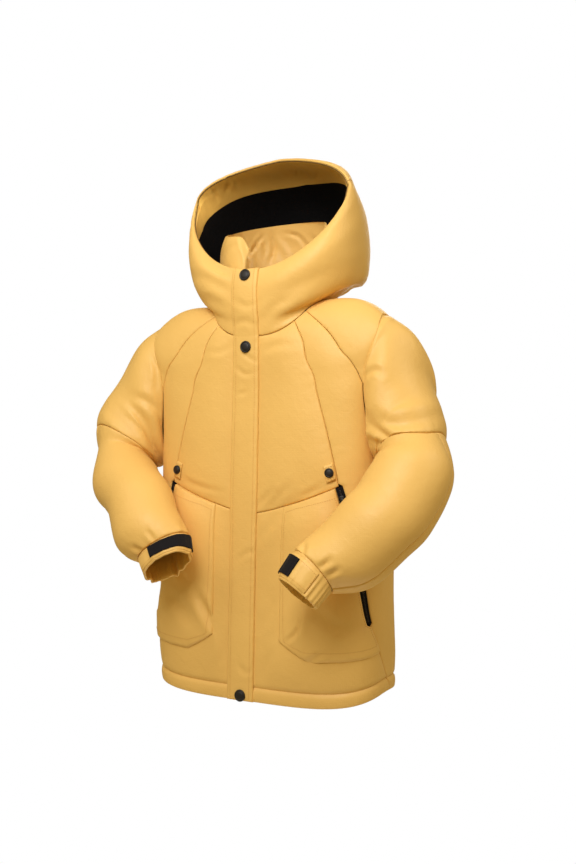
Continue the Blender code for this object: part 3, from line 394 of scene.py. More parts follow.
def noise(points, size, seed=0):
    """Smooth, uneven values from -1 to 1 that change over a length of about the given size."""
    place = points / np.asarray(size, float) + seed * 37.7
    cell = np.floor(place)
    part = place - cell
    ease = part * part * (3 - 2 * part)
    total = np.zeros(points.shape[:-1])
    for corner in np.ndindex(2, 2, 2):
        share = np.prod(np.where(corner, ease, 1 - ease), axis=-1)
        total += share * hashed(cell + corner)
    return total


def noise_along(run, size, seed):
    """The same along one length."""
    return noise(np.stack([run, np.full_like(run, 3.3), np.full_like(run, 7.7)], axis=-1), size, seed)


# The pieces. Each is a dict: its grid of points, the way out at each point, how far its outer and inner faces lie
# from the points along that way, and where its rows and columns stand on the solid's coarser grid.


def piece(points, normals, outer, rows, columns, inner=FLAT):
    outer = np.broadcast_to(outer, points.shape[:-1]).astype(float)
    inner = np.broadcast_to(inner, points.shape[:-1]).astype(float)
    return {"points": points, "normals": normals, "outer": outer, "inner": inner, "rows": rows, "columns": columns}


def steps(lengths, fine=FINE, edges=True):
    """Places along coarse steps of these lengths, counted in coarse steps, and closer together at both ends."""
    places = [np.array([0.0])]
    for number, length in enumerate(lengths):
        count = max(1, round(length / fine))
        places.append(number + np.arange(1, count + 1) / count)
    if edges:
        places.append(np.array(EDGE_STEPS) / lengths[0])
        places.append(len(lengths) - np.array(EDGE_STEPS) / lengths[-1])
    return np.unique(np.round(np.concatenate(places), 5))


def lengths(points, axis):
    return np.linalg.norm(np.diff(points, axis=axis), axis=-1).max(axis=1 - axis)


def read_at(values, places, axis=0):
    """Values between the rows (or columns) of a coarse grid."""
    values = np.moveaxis(np.asarray(values, float), axis, 0)
    low = np.clip(places.astype(int), 0, len(values) - 2)
    way = (places - low).reshape(-1, *[1] * (values.ndim - 1))
    return np.moveaxis(values[low] * (1 - way) + values[low + 1] * way, 0, axis)


def fine_row(places, coarse):
    """The fine row (or column) that stands at a coarse one."""
    return int(np.searchsorted(places, (coarse if coarse >= 0 else places[-1] + 1 + coarse) - 1e-4))


def distance(points, axis, start):
    """How far each point of a grid lies from a row or a column of it, and less than 0 on the other side of it."""
    runs = np.linalg.norm(np.diff(points, axis=axis), axis=-1)
    zero = np.zeros_like(np.take(runs, [0], axis))
    run = np.concatenate([zero, np.cumsum(runs, axis)], axis)
    return run - np.take(run, [start], axis)


def ends(one, rows=(0, -1), columns=(0, -1)):
    """The distance from each of a piece's edges, and the run along that edge."""
    points = one["points"]
    found = []
    for axis, pair, places in ((0, rows, one["rows"]), (1, columns, one["columns"])):
        if pair is None:
            continue
        along = distance(points, 1 - axis, 0)
        for sign, coarse in zip((1, -1), pair):
            found.append((sign * distance(points, axis, fine_row(places, coarse)), along))
    return found


def eased(away, reach=PUFF_REACH):
    return 1 - (1 - np.clip(away / reach, 0, 1)) ** 2


def swell(one, height, rows=(0, -1), columns=(0, -1), reach=PUFF_REACH, skip=()):
    """Lets wadding lift a piece: nothing at its seams, the full height well away from all of them."""
    lift = np.full(one["outer"].shape, float(height))
    for number, (away, _) in enumerate(ends(one, rows, columns)):
        if number not in skip:
            lift *= eased(away, reach)
    one["outer"] = one["outer"] + lift
    return one


def step_in(edge, inward, gap):
    """The move that takes an edge in from its seam line, square to that line."""
    along = unit(np.gradient(edge, axis=0))
    way = inward - edge
    return gap * unit(way - along * (way * along).sum(axis=-1, keepdims=True))


def draw_in(points, gap=SEAM_GAP, sides="bottom top left right"):
    """The grid with its edges moved in from their seam lines."""
    moved = points.copy()
    if "bottom" in sides:
        moved[0] += step_in(points[0], points[3], gap)
    if "top" in sides:
        moved[-1] += step_in(points[-1], points[-4], gap)
    if "left" in sides:
        moved[:, 0] += step_in(points[:, 0], points[:, 3], gap)
    if "right" in sides:
        moved[:, -1] += step_in(points[:, -1], points[:, -4], gap)
    return moved


def cut_out(one, rows, columns):
    """A stretch of a piece between two of its coarse rows and two of its coarse columns."""
    r = slice(fine_row(one["rows"], rows[0]), fine_row(one["rows"], rows[1]) + 1)
    c = slice(fine_row(one["columns"], columns[0]), fine_row(one["columns"], columns[1]) + 1)
    part = {key: values[r, c] for key, values in one.items() if key not in ("rows", "columns")}
    part["rows"] = one["rows"][r] - one["rows"][r][0]
    part["columns"] = one["columns"][c] - one["columns"][c][0]
    return part


def laid_on(part, thick, gap=LAYER_GAP):
    """A piece laid on a stretch of another: its points, moved out past its outer face."""
    lift = (part["outer"] + gap)[..., None]
    points = part["points"] + part["normals"] * lift
    return piece(points, part["normals"], thick, part["rows"], part["columns"], 0.0)


def mirrored(one):
    """The same piece on the wearer's right, its columns in the same order round the coat."""
    flip = {"points": (-1, 1, 1), "normals": (-1, 1, 1)}
    turned = {key: values[:, ::-1] * flip.get(key, 1) for key, values in one.items() if values.ndim > 1}
    turned["rows"] = one["rows"]
    turned["columns"] = (one["columns"][-1] - one["columns"])[::-1]
    return turned


def on_face(one, row, column):
    """A point on a piece's outer face, and the way out there, at a coarse row and column."""
    row, column = np.broadcast_arrays(np.asarray(row, float), np.asarray(column, float))
    row = np.interp(row, one["rows"], np.arange(len(one["rows"])))
    column = np.interp(column, one["columns"], np.arange(len(one["columns"])))
    face = one["points"] + one["normals"] * one["outer"][..., None]
    r = np.clip(row.astype(int), 0, face.shape[0] - 2)
    c = np.clip(column.astype(int), 0, face.shape[1] - 2)
    up, over = (row - r)[..., None], (column - c)[..., None]

    def read(values):
        low = values[r, c] * (1 - over) + values[r, c + 1] * over
        high = values[r + 1, c] * (1 - over) + values[r + 1, c + 1] * over
        return low * (1 - up) + high * up

    return read(face), unit(read(one["normals"]))


# What sewing and wear do to a piece's outer face


def puckered(one, edges, height, seed, reach=11.0, size=7.5):
    """Small uneven gathers that run out of a seam."""
    for number, (away, along) in enumerate(edges):
        near = np.clip(away / 1.6, 0, 1) * np.exp(-np.clip(away, 0, None) / reach) * (away >= 0)
        pattern = noise_along(along, size, seed + number) + 0.5 * noise_along(along, size * 0.53, seed + number + 9)
        strength = 0.55 + 0.45 * noise_along(along, size * 7, seed + number + 5)
        one["outer"] = one["outer"] + height * near * pattern * strength
    return one


def undulating(one, height, size, seed, side=1):
    """Soft unevenness of the wadding, where there is any."""
    true = one["points"] * (side, 1, 1)
    soft = np.clip((one["outer"] - FLAT) / 3, 0, 1)
    uneven = noise(true, size, seed) + 0.45 * noise(true, size * 0.47, seed + 3)
    one["outer"] = one["outer"] + height * soft * uneven
    return one


def rolled(one, edges, radius=2.4, depth=1.7):
    """Rolls the face down into its seams."""
    near = np.full(one["outer"].shape, np.inf)
    for away, _ in edges:
        near = np.minimum(near, np.clip(away, 0, None))
    way = 1 - np.clip(near / radius, 0, 1)
    one["outer"] = one["outer"] - depth * (1 - np.sqrt(1 - way * way))
    return one


def seen_at(points):
    """Where points stand in the photograph, which is 576 wide and 864 high, and how many pixels make a millimetre."""
    scale = FOCAL / (CAMERA_AWAY - points @ BACK_WAY)
    across = FRAME_MIDDLE[0] + points @ RIGHT_WAY * scale
    return np.stack([across, FRAME_MIDDLE[1] - (points[..., 2] - CAMERA_Z) * scale], axis=-1), scale


def creased_as_seen(one, name, side=1, face="outer"):
    """Draws the creases that the photograph shows on this piece, on the side that faces the camera."""
    true, way = one["points"] * (side, 1, 1), one["normals"] * (side, 1, 1)
    place, scale = seen_at(true)
    facing = np.clip((way @ BACK_WAY) * (1 if face == "outer" else -1) / 0.25, 0, 1)
    for width, height, *stations in SEEN_CREASES.get(name, ()):
        knots = np.arange(float(len(stations)))
        line = curve(knots, np.array(stations, float), np.linspace(0, knots[-1], 25))
        one[face] = one[face] + trough(place, line, scale, width, height) * facing
    return one


def trough(place, line, scale, width, height):
    """The change of height near a line: its own profile across it, fading out at its ends."""
    change = np.zeros(place.shape[:-1])
    margin = 3.4 * width * scale.max()
    close = np.all((place > line.min(axis=0) - margin) & (place < line.max(axis=0) + margin), axis=-1)
    here = place[close]
    nearest = np.full(len(here), np.inf)
    share_along = np.zeros(len(here))
    for number in range(len(line) - 1):
        start, run = line[number], line[number + 1] - line[number]
        share = np.clip(((here - start) @ run) / max(run @ run, 1e-9), 0, 1)
        away = np.linalg.norm(here - start - share[:, None] * run, axis=-1)
        better = away < nearest
        nearest[better] = away[better]
        share_along[better] = (number + share[better]) / (len(line) - 1)
    nearest = nearest / np.broadcast_to(scale, place.shape[:-1])[close]
    taper = np.sin(np.pi * np.clip(share_along, 0.03, 0.97)) ** 0.6
    lips = 0.38 * np.exp(-(((nearest - 1.9 * width) / width) ** 2))
    change[close] = height * taper * (np.exp(-((nearest / width) ** 2)) - lips)
    return change


def creased(one, surface, creases, side=1):
    """Draws creases that are placed on the surface itself: troughs where the height is below 0."""
    t = np.linspace(0, 1, 15)
    for a0, s0, a1, s1, bow_a, bow_s, width, height in creases:
        bow = 4 * t * (1 - t)
        line = surface(a0 + (a1 - a0) * t + bow_a * bow, s0 + (s1 - s0) * t + bow_s * bow) * (side, 1, 1)
        one["outer"] = one["outer"] + trough(one["points"], line, np.ones(1), width, height)
    return one


def kept_thick(one, least=1.1):
    """Keeps a wall from closing up where a trough is deep: its inner face gives way."""
    one["inner"] = np.maximum(one["inner"], least - one["outer"])
    return one


# The torso's pieces

YOKE_ROW, NECK_ROW = 10, 21  # rows at which a front's yoke seam and neck seam run, counted from the hem
OUTER_ROWS = (0, YOKE_ROW, 16, NECK_ROW)  # rows of its outer edge: hem, underarm, raglan seam, neck
SIDE_SHARES = np.append(LOW_SHARES, ARMHOLE_BOTTOM)
ZIP_SHARES = np.append(LOW_SHARES, YOKE_END)
CHEST_SHARES = np.append(YOKE_END, HIGH_SHARES)
RAGLAN_ROWS = np.append(armhole(np.array(72.0))[1], RAGLAN_SHARES)


def numbered(values, rows):
    return np.interp(rows, np.arange(len(values)), values)


def outer_edge(rows, front):
    """Angle and share from the hem up the side seam, one half of the armhole and a raglan seam to the neck."""
    share = numbered(SIDE_SHARES, rows)
    angle = SIDE_SEAM_HEM + (ARMHOLE_MIDDLE - SIDE_SEAM_HEM) * share / ARMHOLE_BOTTOM
    turn = 180 - TURN_STEP * (np.clip(rows, OUTER_ROWS[1], OUTER_ROWS[2]) - OUTER_ROWS[1])
    hole_angle, hole_share = armhole(turn if front else -turn)
    high = numbered(RAGLAN_ROWS, rows - OUTER_ROWS[2])
    if front:
        high_angle = curve(RAGLAN["share"], RAGLAN["angle"], high)
    else:
        start = armhole(np.array(-72.0))[0]
        high_angle = start + (BACK_RAGLAN - start) * (high - RAGLAN_ROWS[0]) / (1 - RAGLAN_ROWS[0])
    in_hole, above = rows > OUTER_ROWS[1], rows > OUTER_ROWS[2]
    angle = np.where(above, high_angle, np.where(in_hole, hole_angle, angle))
    share = np.where(above, high, np.where(in_hole, hole_share, share))
    return np.stack([angle, share], axis=-1)


def inner_edge(rows):
    """Angle and share from the hem up the pocket zip's line and the princess seam to the neck."""
    low, high = numbered(ZIP_SHARES, rows), numbered(CHEST_SHARES, rows - 10)
    below = rows <= 10
    angle = np.where(
        below,
        curve(ZIP_LINE["share"], ZIP_LINE["angle"], low),
        curve(PRINCESS["share"], PRINCESS["angle"], high),
    )
    return np.stack([angle, np.where(below, low, high)], axis=-1)


def between(left, right, across):
    """A grid of (angle, share) whose columns lie between two seams."""
    return left[:, None] * (1 - across[None, :, None]) + right[:, None] * across[None, :, None]


def torso_piece(grid, rows, columns):
    """A piece of the torso on a grid of (angle, share), with its edges drawn in from their seams."""
    normals = loft_normal(TORSO, grid[..., 0], grid[..., 1])
    return piece(draw_in(at_torso(grid)), normals, FLAT, rows, columns)


def at_torso(grid):
    return loft(TORSO, grid[..., 0], grid[..., 1])


def hem_tube(one):
    """Fills the narrow tube between the hem's edge and its stitch line."""
    climb = np.clip(one["rows"] / 2, 0, 1)
    one["outer"] = one["outer"] + (HEM_PUFF * np.sin(np.pi * climb))[:, None]
    groove = np.exp(-(((one["rows"] - 2) / 0.22) ** 2))
    one["outer"] = one["outer"] - (1.9 * groove)[:, None]
    return one


def front_angle(place, share):
    """The angle at which a column near the centre front stands, from its place along X."""
    depth = curve(TORSO["share"], TORSO["y_side"] - TORSO["y_front"], share)
    return np.degrees(np.arctan2(place, depth))


def front_columns(flap_edge, pocket, right):
    """The angles of a front piece's columns: zip, flap, between, pocket seam, two more, and the outer seam."""
    zip_edge, flap = (front_angle(place, right[:, 1]) for place in (ZIP_HALF, flap_edge))
    outer = right[:, 0]
    inner = flap + (outer - flap) * pocket
    columns = [zip_edge, flap, (flap + inner) / 2, inner]
    return np.stack(columns + [inner + (outer - inner) * way for way in (1 / 3, 2 / 3, 1.0)], axis=1)


def pocket_share(flap_edge, shares):
    """Where the pocket seam stands, as a share of the way from the flap's edge to the outer seam."""
    flap = front_angle(flap_edge, shares)
    outer = curve(ZIP_LINE["share"], ZIP_LINE["angle"], shares)
    return (curve(POCKET_SEAM["share"], POCKET_SEAM["angle"], shares) - flap) / (outer - flap)


def front_centre(flap_edge):
    """The chest piece between the front zip and the princess seam, above the yoke seam."""

    def grid(rows, columns):
        shares = numbered(CHEST_SHARES, rows)
        right = np.stack([curve(PRINCESS["share"], PRINCESS["angle"], shares), shares], axis=-1)
        angle = read_at(front_columns(flap_edge, pocket_share(flap_edge, CHEST_SHARES[:1]), right), columns, 1)
        climb = ((shares - YOKE_END) / (1 - YOKE_END))[:, None]
        bottom = curve(YOKE["angle"], YOKE["share"], angle[0])
        share = shares[:, None] + (bottom - YOKE_END) * (1 - climb) ** 2
        return np.stack([angle, share], axis=-1)

    rows, columns = fine_places(grid, 12, 7)
    made = torso_piece(grid(rows, columns), rows, columns)
    return swell(made, TORSO_PUFF, columns=(1, -1))


def fine_places(grid, rows, columns):
    """Fine rows and columns for a grid that is known at any row and column."""
    coarse = at_torso(grid(np.arange(float(rows)), np.arange(float(columns))))
    along_zip = np.linalg.norm(np.diff(coarse[:, 0], axis=0), axis=-1)
    return steps(along_zip), steps(lengths(coarse, 1))


def front_lower(flap_edge):
    """The piece below the yoke seam, from zip to pocket zip, with the pocket's outline in its grid."""

    def angles(rows):
        shares = numbered(ZIP_SHARES, rows)
        right = np.stack([curve(ZIP_LINE["share"], ZIP_LINE["angle"], shares), shares], axis=-1)
        return front_columns(flap_edge, pocket_share(flap_edge, shares), right)

    coarse = np.repeat(ZIP_SHARES[:, None], 7, axis=1)
    coarse[-1] = curve(YOKE["angle"], YOKE["share"], angles(np.array([10.0]))[0])
    coarse[-2, :4] -= BELOW_YOKE
    coarse[4, 3] = POCKET_CORNER

    def grid(rows, columns):
        angle = read_at(angles(rows), columns, 1)
        share = read_at(read_at(coarse, rows), columns, 1)
        last = np.clip(rows - 9, 0, 1)[:, None]
        straight = read_at(coarse[-1], columns)
        share += last * (curve(YOKE["angle"], YOKE["share"], angle[-1]) - straight)
        return np.stack([angle, share], axis=-1)

    rows, columns = fine_places(grid, 11, 7)
    made = torso_piece(grid(rows, columns), rows, columns)
    made = hem_tube(swell(made, TORSO_PUFF, rows=(2, -1), columns=(1, -1)))
    return open_for_zip(made, -1, 5)


def open_for_zip(one, edge, inward):
    """Moves an edge of the piece back from the pocket zip, and the points beside it by less and less."""
    rows = slice(fine_row(one["rows"], ZIP_END), fine_row(one["rows"], len(LOW_SHARES)) + 1)
    stop = fine_row(one["columns"], inward)
    points = one["points"][rows]
    away = unit(points[:, stop] - points[:, edge])
    way = np.clip((one["columns"] - inward) / (one["columns"][edge] - inward), 0, 1)
    one["points"][rows] += (POCKET_ZIP_HALF + SEAM_GAP) * away[:, None] * way[None, :, None]
    return one


def front_side():
    """The long side piece, from the hem to the neck, outside the princess seam and the pocket zip."""

    def grid(rows, columns):
        return between(inner_edge(rows), outer_edge(rows, True), numbered(SIDE_WAYS, columns))

    rows, columns = fine_places(grid, 22, 5)
    made = torso_piece(grid(rows, columns), rows, columns)
    return open_for_zip(hem_tube(swell(made, SIDE_PUFF, rows=(2, -1))), 0, 1)


def back():
    """The back, in one piece from side seam to side seam."""

    def grid(rows, columns):
        left = outer_edge(rows, False)
        return between(left, left * (-1, 1) + (360, 0), numbered(BACK_WAYS, columns))

    rows, columns = fine_places(grid, 22, 11)
    made = torso_piece(grid(rows, columns), rows, columns)
    return hem_tube(swell(made, TORSO_PUFF, rows=(2, -1)))


def shoulder():
    """The piece over the shoulder, between the two raglan seams, from the neck to the armhole."""

    def grid(rows, columns):
        left, right = (outer_edge(rows + OUTER_ROWS[2], front) for front in (True, False))
        bottom = np.stack(armhole(SHOULDER_TURNS[0] - TURN_STEP * columns), axis=-1)
        across = (bottom[:, 0] - bottom[0, 0]) / (bottom[-1, 0] - bottom[0, 0])
        found = between(left, right, across)
        climb = (left[:, 1] - left[0, 1]) / (1 - left[0, 1])
        return found + (bottom - found[0])[None] * (1 - climb)[:, None, None]

    rows, columns = fine_places(grid, 6, 9)
    made = torso_piece(grid(rows, columns), rows, columns)
    swell(made, SHOULDER_PUFF, skip=(0,))
    more = (SLEEVE_PUFF / SHOULDER_PUFF - 1) * np.clip(1 - rows / 4, 0, 1)[:, None]
    made["outer"] = FLAT + (made["outer"] - FLAT) * (1 + more)
    return made


# The hood


def neck_ring(angle):
    """The hood's lowest ring, which runs along the torso's neck edge."""
    sine, cosine = np.sin(np.radians(angle)), np.cos(np.radians(angle))
    power = 2 / np.where(cosine > 0, TORSO["square_front"][-1], TORSO["square_back"][-1])
    wide = np.sign(sine) * np.abs(sine) ** power * TORSO["half_width"][-1]
    long = np.sign(cosine) * np.abs(cosine) ** power * np.where(cosine > 0, *NECK_DEPTHS)
    points = loft(TORSO, np.degrees(np.arctan2(wide, long)), 1.0)
    points[..., 2] += NECK_RISE
    return points


def hood_ring(angle, number):
    """A ring of the hood's table: an oval through its front, side and back points, in its own leaning plane."""
    at = {name: values[number] for name, values in HOOD.items()}
    sine, cosine = np.sin(np.radians(angle)), np.cos(np.radians(angle))
    power = 2 / np.where(cosine > 0, at["square_front"], at["square_back"])
    wide = np.sign(sine) * np.abs(sine) ** power
    long = np.sign(cosine) * np.abs(cosine) ** power
    found = [wide * at["half_width"]]
    for axis in "yz":
        front, side, back_ = (at[axis + end] for end in ("_front", "_side", "_back"))
        middle = (front + back_) / 2
        reach = np.where(cosine < 0, -np.abs(long) ** at["bend_back"], long) if axis == "y" else long
        found.append(middle + (front - middle) * reach + (side - middle) * wide**2)
    return np.stack(found, axis=-1)


def hood(angle, share):
    """Points of the hood: the angle runs from the centre front, the share from the neck seam to the rim."""
    angle, share = np.broadcast_arrays(np.asarray(angle, float), np.asarray(share, float))
    rings = np.stack([neck_ring(angle)] + [hood_ring(angle, number) for number in range(len(HOOD["share"]))])
    knots = np.append(0.0, HOOD["share"])
    return through(rings, knots, share)


def hood_normal(angle, share):
    return way_out(hood, angle, share, 0.5)


def hood_front_angle(place, share):
    """The angle at which a column near the centre front stands, from its place along X."""
    knots = np.append(0.0, HOOD["share"])
    width = np.append(TORSO["half_width"][-1], HOOD["half_width"])
    square = np.append(TORSO["square_front"][-1], HOOD["square_front"])
    ratio = place / curve(knots, width, share)
    return np.degrees(np.arcsin(ratio ** (curve(knots, square, share) / 2)))


def hood_side_angles(flap_edge, share):
    """The columns of the side piece: the zip's edge, the flap's edge, and on to the seam along the crown."""
    zip_edge, flap = (hood_front_angle(place, share) for place in (ZIP_HALF, flap_edge))
    crown = curve(GUSSET["share"], GUSSET["angle"], share)
    return np.stack([zip_edge, flap] + [flap + (crown - flap) * way for way in HOOD_SIDE_WAYS], axis=-1)


def gusset_angles(share):
    crown = curve(GUSSET["share"], GUSSET["angle"], share)
    return np.stack([crown + (360 - 2 * crown) * way for way in GUSSET_WAYS], axis=-1)


def hood_piece(angles, swell_columns=(0, -1)):
    """A stretch of the hood; the columns' angles are known at any share."""
    coarse = hood(angles(HOOD_SHARES), HOOD_SHARES[:, None])
    rows = steps(np.linalg.norm(np.diff(coarse[:, 0], axis=0), axis=-1))
    columns = steps(lengths(coarse, 1))
    share = numbered(HOOD_SHARES, rows)
    angle = read_at(angles(share), columns, 1)
    shares = np.broadcast_to(share[:, None], angle.shape)
    made = piece(draw_in(hood(angle, shares)), hood_normal(angle, shares), FLAT, rows, columns)
    return swell(made, HOOD_PUFF, columns=swell_columns)


def hood_side(flap_edge):
    """The side of the hood, from the front zip to the seam along the crown."""
    return hood_piece(lambda share: hood_side_angles(flap_edge, share), (1, -1))


def hood_centre():
    """The gusset over the crown and down the back of the hood."""
    return hood_piece(gusset_angles)


def hood_layer(low, high=None):
    """A thin layer inside the whole hood, between two lines that are known at any angle, or from one to the rim."""
    columns = np.linspace(0, 1, 260)
    rough = hood_front_angle(ZIP_HALF, 0.8) + (360 - 2 * hood_front_angle(ZIP_HALF, 0.8)) * columns
    count = 44 if high is None else 56
    rows = np.linspace(0, 1, count)
    from_share, to_share = low(rough), np.ones(rough.shape) if high is None else high(rough)
    share = from_share + (to_share - from_share) * rows[:, None]
    first = hood_front_angle(ZIP_HALF, share)
    angle = first + (360 - 2 * first) * columns
    normals = hood_normal(angle, share)
    points = hood(angle, share) - normals * (FLAT + lining_clear(share))[..., None]
    return piece(draw_in(points), normals, 0.0, rows, columns, LINING_THICK)


def facing_edge(angle):
    return curve(FACING_EDGE["angle"], FACING_EDGE["share"], 180 - np.abs(angle - 180))


def lining_clear(share):
    return RIM_CLEAR + (LINING_CLEAR - RIM_CLEAR) * np.clip((1 - share) / 0.1, 0, 1)


def inner_collar():
    """The stand-up collar inside the hood, open at the front."""
    places = np.arange(len(COLLAR_ANGLES), dtype=float)

    def grid(rows, columns):
        angle = numbered(COLLAR_ANGLES, columns)
        share = numbered(COLLAR_CLIMB, rows)[:, None] * curve(COLLAR_TOP["angle"], COLLAR_TOP["share"], angle)
        return np.broadcast_to(angle, share.shape), share

    coarse = loft(COLLAR, *grid(np.arange(5.0), places))
    rows, columns = steps(lengths(coarse, 0)), steps(lengths(coarse, 1))
    angle, share = grid(rows, columns)
    made = piece(loft(COLLAR, angle, share), loft_normal(COLLAR, angle, share), FLAT, rows, columns)
    return swell(made, COLLAR_PUFF, reach=COLLAR_REACH)


# The sleeves


def folds(turn, along):
    """How far the sleeve's folds draw its outer face in."""
    depth = np.zeros(np.broadcast(turn, along).shape)
    for t, a, wide, long, deep in zip(*(SLEEVE_FOLDS[name] for name in SLEEVE_FOLDS)):
        off = (turn - t + 180) % 360 - 180
        depth += deep * np.exp(-((off / wide) ** 2) - ((along - a) / long) ** 2)
    return depth


def elbow_shift(turn, along, tilt):
    """Lets the elbow seam sag along the arm on the side of one turn, and the rows beside it with it."""
    most, at_turn = tilt
    off = (turn - at_turn + 180) % 360 - 180
    upper = np.clip(along / ELBOW_SEAM, 0, 1) ** 2
    lower = np.clip((1 - along) / (1 - ELBOW_SEAM), 0, 1) ** 1.5
    return most * np.exp(-((off / ELBOW_TILT_WIDE) ** 2)) * np.where(along <= ELBOW_SEAM, upper, lower)


def ring_lift(turn, points):
    """How much of its height the wadding keeps at the armhole, over the shoulder, where no seam is sewn."""
    over = np.abs((turn[0] + 180) % 360 - 180)
    size = np.linalg.norm(points[0] - np.roll(points[0], 1, axis=0), axis=-1).sum() / 360
    share = eased((72 - over) * size) * eased((72 + over) * size)
    return np.where(over < 72, share, 0.0)


def sleeve_piece(arm, turns, alongs, tilt, closed=False):
    """A stretch of a sleeve between two turns and two places along it."""
    coarse = sleeve(arm, *np.meshgrid(turns, alongs))
    rows = steps(lengths(coarse, 0))
    around = lengths(np.concatenate([coarse, coarse[:, :1]], axis=1), 1) if closed else lengths(coarse, 1)
    columns = steps(around, edges=not closed)
    if closed:
        columns = columns[:-1]
    turn, along = np.meshgrid(turns[0] + TURN_STEP * columns, numbered(alongs, rows))
    along = along + elbow_shift(turn, along, tilt)
    points = sleeve(arm, turn, along)
    near = np.clip(along, 0.003, 0.997)
    around = sleeve(arm, turn + 1.0, near) - sleeve(arm, turn - 1.0, near)
    down = sleeve(arm, turn, near + 0.003) - sleeve(arm, turn, near - 0.003)
    normals = unit(np.cross(around, down))
    if closed:
        share = (1 + np.cos(np.radians(turn[0])))[:, None] / 2
        start = unit(loft_normal(TORSO, *armhole(turn[0])) * share + normals[0] * (1 - share))
        fade = np.clip(1 - rows / 1.0, 0, 1)[:, None, None]
        normals = unit(start * fade + normals * (1 - fade))
    made = piece(draw_in(points, SEAM_GAP, "top" if closed else "bottom top left right"), normals, FLAT, rows, columns)
    if closed:
        (start, _), (end, _) = ends(made, columns=None)
        kept = ring_lift(turn, points)[None]
        made["outer"] = made["outer"] + SLEEVE_PUFF * eased(end) * (kept + (1 - kept) * eased(start))
        made["over"] = np.repeat(kept, len(rows), axis=0)
    else:
        swell(made, SLEEVE_PUFF)
    made["outer"] = FLAT + np.maximum(made["outer"] - FLAT - folds(turn, along), 0)
    return made


# The cuffs


def cuff(arm, side):
    """The gathered tube at the wrist, smooth under its strap. Its columns are counted in steps of ten degrees."""
    columns = np.arange(CUFF_FINE) * CUFF_COLUMNS / CUFF_FINE
    turns = columns * 360.0 / CUFF_COLUMNS
    start = sleeve(arm, turns, np.full(turns.shape, 1.0))
    centre = arm_centre(arm)[-1]
    path = unit(np.array(CUFF_WAY[side]))
    rise = CUFF_START + (1 - CUFF_START) * CUFF_RISE
    climb = rise[:, None, None]
    slant = ((start - centre) @ path)[..., None] * path
    out = start - centre - slant
    points = start + path * CUFF_LENGTH * climb - slant * CUFF_TURN * climb
    points -= out * (CUFF_TAPER[0] + CUFF_TAPER[1] * climb)
    first, last = TAB_COLUMNS[side]
    smooth = np.clip(np.minimum(columns - first, last - 1 - columns) / 0.8 + 1, 0, 1)
    around = np.radians(turns)
    place = np.stack([np.cos(around), np.sin(around), np.zeros_like(around)], axis=-1) * 40
    wave = 2.4 * noise(place, 9.0, 11 + ord(side)) + 1.2 * noise(place, 5.0, 5 + ord(side))
    wave = wave[None, :] * (1 - 0.75 * smooth) * np.clip(0.35 + rise[:, None] * 1.3, 0, 1.15)
    normals = np.broadcast_to(unit(out), points.shape)
    rim = 1 - np.clip((1 - rise) / 0.05, 0, 1)
    outer = np.where(rise < 0.02, -0.4, FLAT)[:, None] - (0.9 * rim**2)[:, None]
    return piece(points + normals * (GATHER * wave)[..., None], normals, outer, rise, columns)


def cuff_part(wrist, climb, columns):
    """A stretch of the cuff between two heights and two of its coarse columns."""
    rows = np.linspace(*climb, 10)
    low = np.searchsorted(wrist["columns"], columns[0])
    high = np.searchsorted(wrist["columns"], columns[1] + 1e-6)
    at = np.interp(rows, wrist["rows"], np.arange(len(wrist["rows"])))
    part = {key: read_at(wrist[key], at)[:, low:high] for key in ("points", "normals", "outer", "inner")}
    part["normals"] = unit(part["normals"])
    part["rows"] = np.arange(10.0)
    part["columns"] = wrist["columns"][low:high] - wrist["columns"][low]
    return part


# Materials


def add_node(tree, kind, output, **inputs):
    """A node whose inputs are each linked to a socket or set to a value. Returns the output that is named."""
    node = tree.nodes.new("ShaderNode" + kind)
    for name, value in inputs.items():
        socket = node.inputs[name.replace("_", " ")]
        if isinstance(value, bpy.types.NodeSocket):
            tree.links.new(value, socket)
        else:
            socket.default_value = value
    return node.outputs[output]


def shader_of(name, colour, roughness, sheen=0.0, specular=0.5, sheen_tint=(1.0, 1.0, 1.0)):
    """A material with its node tree, its shader and the place on the object that its patterns are read at."""
    made = bpy.data.materials.new(name)
    made.use_nodes = True
    shader = made.node_tree.nodes["Principled BSDF"]
    shader.inputs["Base Color"].default_value = (*colour, 1.0)
    shader.inputs["Roughness"].default_value = roughness
    shader.inputs["Sheen Weight"].default_value = sheen
    shader.inputs["Sheen Roughness"].default_value = 0.45
    shader.inputs["Sheen Tint"].default_value = (*sheen_tint, 1.0)
    shader.inputs["Specular IOR Level"].default_value = specular
    return made, made.node_tree, shader, add_node(made.node_tree, "TexCoord", "Object")


def cloudy(tree, place, scale, detail=2.0, roughness=0.5, distortion=0.0):
    """Uneven patches, scale of them to a metre."""
    spread = {"Detail": detail, "Roughness": roughness, "Distortion": distortion}
    return add_node(tree, "TexNoise", "Fac", Vector=place, Scale=scale, **spread)


def coloured(tree, shader, value, dark, light, low=0.3, high=0.7):
    """Runs the base colour from dark to light as a value rises."""
    node = tree.nodes.new("ShaderNodeValToRGB")
    for stop, place, colour in zip(node.color_ramp.elements, (low, high), (dark, light)):
        stop.position = place
        stop.color = (*colour, 1.0)
    tree.links.new(value, node.inputs["Fac"])
    tree.links.new(node.outputs["Color"], shader.inputs["Base Color"])


def roughened(tree, shader, value, low, high):
    """Runs the roughness from low to high as a value rises."""
    result = add_node(tree, "MapRange", "Result", Value=value, To_Min=low, To_Max=high)
    tree.links.new(result, shader.inputs["Roughness"])


